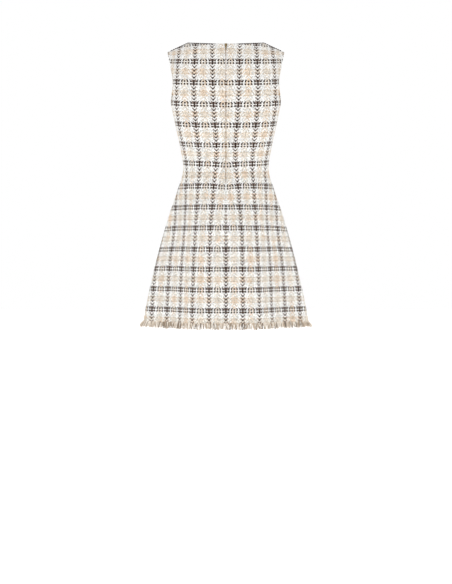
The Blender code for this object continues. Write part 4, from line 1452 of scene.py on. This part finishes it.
class DRESS_OT_zip_tape(bpy.types.Operator):
    """Tape of the concealed zip, its stitching and its closed coil"""
    bl_idname = "dress.zip_tape"
    bl_label = "Zip Tape and Coil"

    def execute(self, context):
        tape = tape_finish(tuple(context.scene.dress_zip.tape))
        inner = zip_rows(SEAM_GAP + TAPE_THICKNESS)
        piece = wall("zip_tape_woven", zip_rows(SEAM_GAP), inner, tape)
        declare(piece, node="zip_tape")

        points, normals = centre_back_line(SEAM_GAP + TAPE_THICKNESS + COIL_STAND_OFF)
        height = points[:, 2]
        top = height[-1] - TAPE_TOP_DROP - COIL_TOP_GAP
        keep = (height > ZIP_BOTTOM + COIL_END_GAP) & (height < top)
        coil = grown("zip_coil", points[keep], {"outward": normals[keep]}, coil_tree(),
                     {"Material": tape})
        declare(coil)

        tree = stitches_tree()
        sewn = {"Pitch": ZIP_STITCH_PITCH, "Stitch Length": ZIP_STITCH_LENGTH,
                "Material": shared_thread(context)}
        for side, name in ((1, "left"), (-1, "right")):
            line = inner[:, TAPE_COLUMNS + side * TAPE_STITCH_COLUMN]
            inwards = np.tile([0.0, -1.0, 0.0], (len(line), 1))
            stitches = grown("zip_stitches_" + name, line, {"outward": inwards}, tree, sewn)
            declare(stitches)
        return {"FINISHED"}


def slider_place():
    """Matrix at the pull's axis: X to the wearer's right, Y up the cloth and Z out of it."""
    hinge = Vector(frame["joints"][0]["pos_m"])
    corners = [vertex.co for vertex in frame["nodes"]["zip_pull"].data.vertices]
    tip = max(corners, key=lambda corner: (corner - hinge).length)
    up = Vector((0, hinge.y - tip.y, hinge.z - tip.z)).normalized()
    out = Vector((0, up.z, -up.y))
    rotation = Matrix(((-1, 0, 0), (0, up.y, out.y), (0, up.z, out.z))).to_4x4()
    return Matrix.Translation(hinge) @ rotation


def rounded_prism(name, outline, low, high, bevel, holes=()):
    """Flat plate with an outline and holes, its edges rounded by a bevel."""
    work = bmesh.new()
    rings = [[work.verts.new((x, y, low)) for x, y in points] for points in (outline, *holes)]
    edges = []
    for ring in rings:
        for a, b in zip(ring, ring[1:] + ring[:1]):
            edges.append(work.edges.new((a, b)))
    bmesh.ops.triangle_fill(work, use_beauty=True, use_dissolve=True, edges=edges)
    lifted = bmesh.ops.extrude_face_region(work, geom=work.faces[:])
    moved = [item for item in lifted["geom"] if isinstance(item, bmesh.types.BMVert)]
    bmesh.ops.translate(work, verts=moved, vec=(0, 0, high - low))
    bmesh.ops.recalc_face_normals(work, faces=work.faces)
    sharp = [edge for edge in work.edges if edge.calc_face_angle(0) > METAL_BEVEL_ANGLE]
    bmesh.ops.bevel(work, geom=sharp, offset=bevel, segments=2, profile=0.6, affect="EDGES")
    mesh = bpy.data.meshes.new(name)
    work.to_mesh(mesh)
    work.free()
    return mesh


def arc(centre_x, centre_y, radius, start, end, steps=5):
    angles = [math.radians(start + (end - start) * step / steps) for step in range(steps + 1)]
    return [(centre_x + radius * math.cos(a), centre_y + radius * math.sin(a)) for a in angles]


def both_sides(right):
    """Outline whose right side is given from the top down, and its left side mirrors it."""
    return right + [(-x, y) for x, y in reversed(right)]


def joined_at(meshes, matrix, name, material):
    """Join meshes that share a place into one piece whose object stays at the origin."""
    work = bmesh.new()
    for mesh in meshes:
        work.from_mesh(mesh)
        bpy.data.meshes.remove(mesh)
    bmesh.ops.transform(work, matrix=matrix, verts=work.verts)
    mesh = bpy.data.meshes.new(name)
    work.to_mesh(mesh)
    work.free()
    mesh.shade_smooth()
    mesh.set_sharp_from_angle(angle=METAL_EDGE_ANGLE)
    return place(name, mesh, material)


def bridge_mesh():
    """Arch over the slider's face that holds the pull, as a bent flat bar."""
    outer = BRIDGE_INSIDE + BRIDGE_BAR
    ceiling = 2 * AXLE_HEIGHT
    roof = ceiling + BRIDGE_BAR
    corner = BRIDGE_BAR
    outline = [(-outer, -BRIDGE_SINK)] + arc(-outer + corner, roof - corner, corner, 180, 90, 4)
    outline += arc(outer - corner, roof - corner, corner, 90, 0, 4) + [(outer, -BRIDGE_SINK)]
    outline += [(BRIDGE_INSIDE, -BRIDGE_SINK), (BRIDGE_INSIDE, ceiling),
                (-BRIDGE_INSIDE, ceiling), (-BRIDGE_INSIDE, -BRIDGE_SINK)]
    mesh = rounded_prism("bridge", outline, -BRIDGE_BAR, BRIDGE_BAR, BRIDGE_BEVEL)
    across_the_slider = Matrix(((0, 0, 1, 0), (1, 0, 0, 0), (0, 1, 0, 0), (0, 0, 0, 1)))
    mesh.transform(Matrix.Translation((0, 0, SLIDER_THICKNESS)) @ across_the_slider)
    return mesh


def slider_mesh():
    """Flat body of the slider, rounded above and narrowing to its tail."""
    top = SLIDER_LENGTH / 2
    right = arc(SLIDER_HALF_WIDTH - SLIDER_CORNER, top - SLIDER_CORNER, SLIDER_CORNER, 90, 0)
    right += [(SLIDER_HALF_WIDTH, top * SLIDER_TAPER_FROM)]
    right += arc(SLIDER_TAIL_HALF_WIDTH - SLIDER_TAIL_CORNER, SLIDER_TAIL_CORNER - top,
                 SLIDER_TAIL_CORNER, 0, -90)
    return rounded_prism("body", both_sides(right), 0, SLIDER_THICKNESS, SLIDER_BEVEL)


def pull_mesh():
    """Narrow tab with a round tip, and a window that the bridge passes through."""
    bar = PULL_THICKNESS / 2
    tip = PULL_TIP_HALF_WIDTH
    neck = -PULL_WINDOW_LENGTH - PULL_NECK_DROP
    edge = [(PULL_HALF_WIDTH, bar), (PULL_HALF_WIDTH, -PULL_WINDOW_LENGTH),
            (PULL_HALF_WIDTH * PULL_NECK_SHARE, neck)]
    edge += arc(0, tip - PULL_LENGTH, tip, 0, -90)[:-1]
    outline = edge + [(0, -PULL_LENGTH)] + [(-x, y) for x, y in reversed(edge)]
    window = both_sides([(PULL_WINDOW_HALF_WIDTH, -bar),
                         (PULL_WINDOW_HALF_WIDTH, -PULL_WINDOW_LENGTH)])
    return rounded_prism("tab", outline, -bar, bar, PULL_BEVEL, holes=[window])


class DRESS_OT_slider(bpy.types.Operator):
    """Gold slider with its bridge, and the pull tab that hangs from it"""
    bl_idname = "dress.slider"
    bl_label = "Slider and Pull"

    def execute(self, context):
        gold = gold_finish(tuple(context.scene.dress_zip.gold))
        at_axis = slider_place()
        at_face = at_axis @ Matrix.Translation((0, 0, -SLIDER_THICKNESS - AXLE_HEIGHT))
        slider = joined_at([slider_mesh(), bridge_mesh()], at_face, "zip_slider_gold", gold)
        declare(slider, node="zip_slider")
        pull = joined_at([pull_mesh()], at_axis, "zip_pull_gold", gold)
        declare(pull, body="pull", node="zip_pull")
        return {"FINISHED"}


def set_up(name, data, location, target):
    """Put a lamp or a camera in the room, pointing at a target."""
    item = bpy.data.objects.new(name, data)
    item.location = location
    item.rotation_euler = (Vector(target) - Vector(location)).to_track_quat("-Z", "Y").to_euler()
    bpy.context.scene.collection.objects.link(item)
    return item


def soft_light(name, location, size, power):
    light = bpy.data.lights.new(name, "AREA")
    light.shape = "DISK"
    light.size = size
    light.energy = power
    set_up(name, light, location, LIGHT_TARGET)


def studio_floor(height):
    mesh = bpy.data.meshes.new("studio_floor")
    turns = ((-1, -1), (1, -1), (1, 1), (-1, 1))
    corners = [(x * FLOOR_REACH, y * FLOOR_REACH, height) for x, y in turns]
    mesh.from_pydata(corners, [], [(0, 1, 2, 3)])
    material = new_finish("studio_white", {
        "Roughness": 0.9, "Base Color": (FLOOR_WHITE, FLOOR_WHITE, FLOOR_WHITE, 1),
        "Emission Color": (1, 1, 1, 1), "Emission Strength": FLOOR_GLOW})[0]
    place("studio_floor", mesh, material)


def room_light(scene, strength):
    """Even white light from all around."""
    scene.world = scene.world or bpy.data.worlds.new("studio")
    scene.world.use_nodes = True
    sky = scene.world.node_tree.nodes["Background"]
    sky.inputs["Color"].default_value = (1, 1, 1, 1)
    sky.inputs["Strength"].default_value = strength


def photo_camera(distance, height):
    """Camera behind the dress whose view is the photograph's frame."""
    side = (CENTRE_LINE_PIXEL - PHOTO_WIDTH / 2) * METRES_PER_PIXEL
    location = Vector((side, distance, height))
    target = Vector((side, 0, AIM_HEIGHT))
    camera = bpy.data.cameras.new("camera")
    camera.sensor_fit = "VERTICAL"
    camera.sensor_height = SENSOR_HEIGHT
    camera.lens = SENSOR_HEIGHT * (target - location).length / (PHOTO_HEIGHT * METRES_PER_PIXEL)
    camera.clip_end = VIEW_END
    return set_up("camera", camera, location, target)


class DRESS_OT_studio(bpy.types.Operator):
    """Pale floor, soft light and the camera behind the dress"""
    bl_idname = "dress.studio"
    bl_label = "Studio"

    def execute(self, context):
        studio = context.scene.dress_studio
        studio_floor(studio.floor_height)
        room_light(context.scene, studio.ambient)
        context.scene.view_settings.view_transform = "Standard"
        for name, location, size, share in SOFT_LIGHTS:
            soft_light(name, location, size, studio.key_power * share)
        context.scene.camera = photo_camera(studio.distance, studio.camera_height)
        return {"FINISHED"}


class DRESS_PT_panel(bpy.types.Panel):
    """Steps and settings of the dress"""
    bl_idname = "DRESS_PT_panel"
    bl_label = "Check Tweed Dress"
    bl_space_type = "VIEW_3D"
    bl_region_type = "UI"
    bl_category = "Dress"

    def draw(self, context):
        for operator in OPERATORS:
            self.layout.operator(operator.bl_idname)
        for name, group in SETTINGS:
            box = self.layout.box()
            for field in group.__annotations__:
                box.prop(getattr(context.scene, name), field)


SETTINGS = (("dress_cloth", DressCloth), ("dress_hem", DressHem),
            ("dress_zip", DressZip), ("dress_studio", DressStudio))
OPERATORS = (DRESS_OT_front, DRESS_OT_back, DRESS_OT_neck_picks, DRESS_OT_fringe,
             DRESS_OT_hem_stitches, DRESS_OT_zip_tape, DRESS_OT_slider, DRESS_OT_studio)


def register():
    for name, group in SETTINGS:
        bpy.utils.register_class(group)
        setattr(bpy.types.Scene, name, bpy.props.PointerProperty(type=group))
    for operator in OPERATORS:
        bpy.utils.register_class(operator)
    bpy.utils.register_class(DRESS_PT_panel)


def unregister():
    bpy.utils.unregister_class(DRESS_PT_panel)
    for operator in reversed(OPERATORS):
        bpy.utils.unregister_class(operator)
    for name, group in reversed(SETTINGS):
        delattr(bpy.types.Scene, name)
        bpy.utils.unregister_class(group)


def main():
    register()
    bpy.ops.dress.studio()
    bpy.ops.dress.front()
    bpy.ops.dress.back()
    bpy.ops.dress.neck_picks()
    bpy.ops.dress.fringe()
    bpy.ops.dress.hem_stitches()
    bpy.ops.dress.zip_tape()
    bpy.ops.dress.slider()


if __name__ == "__main__":
    main()
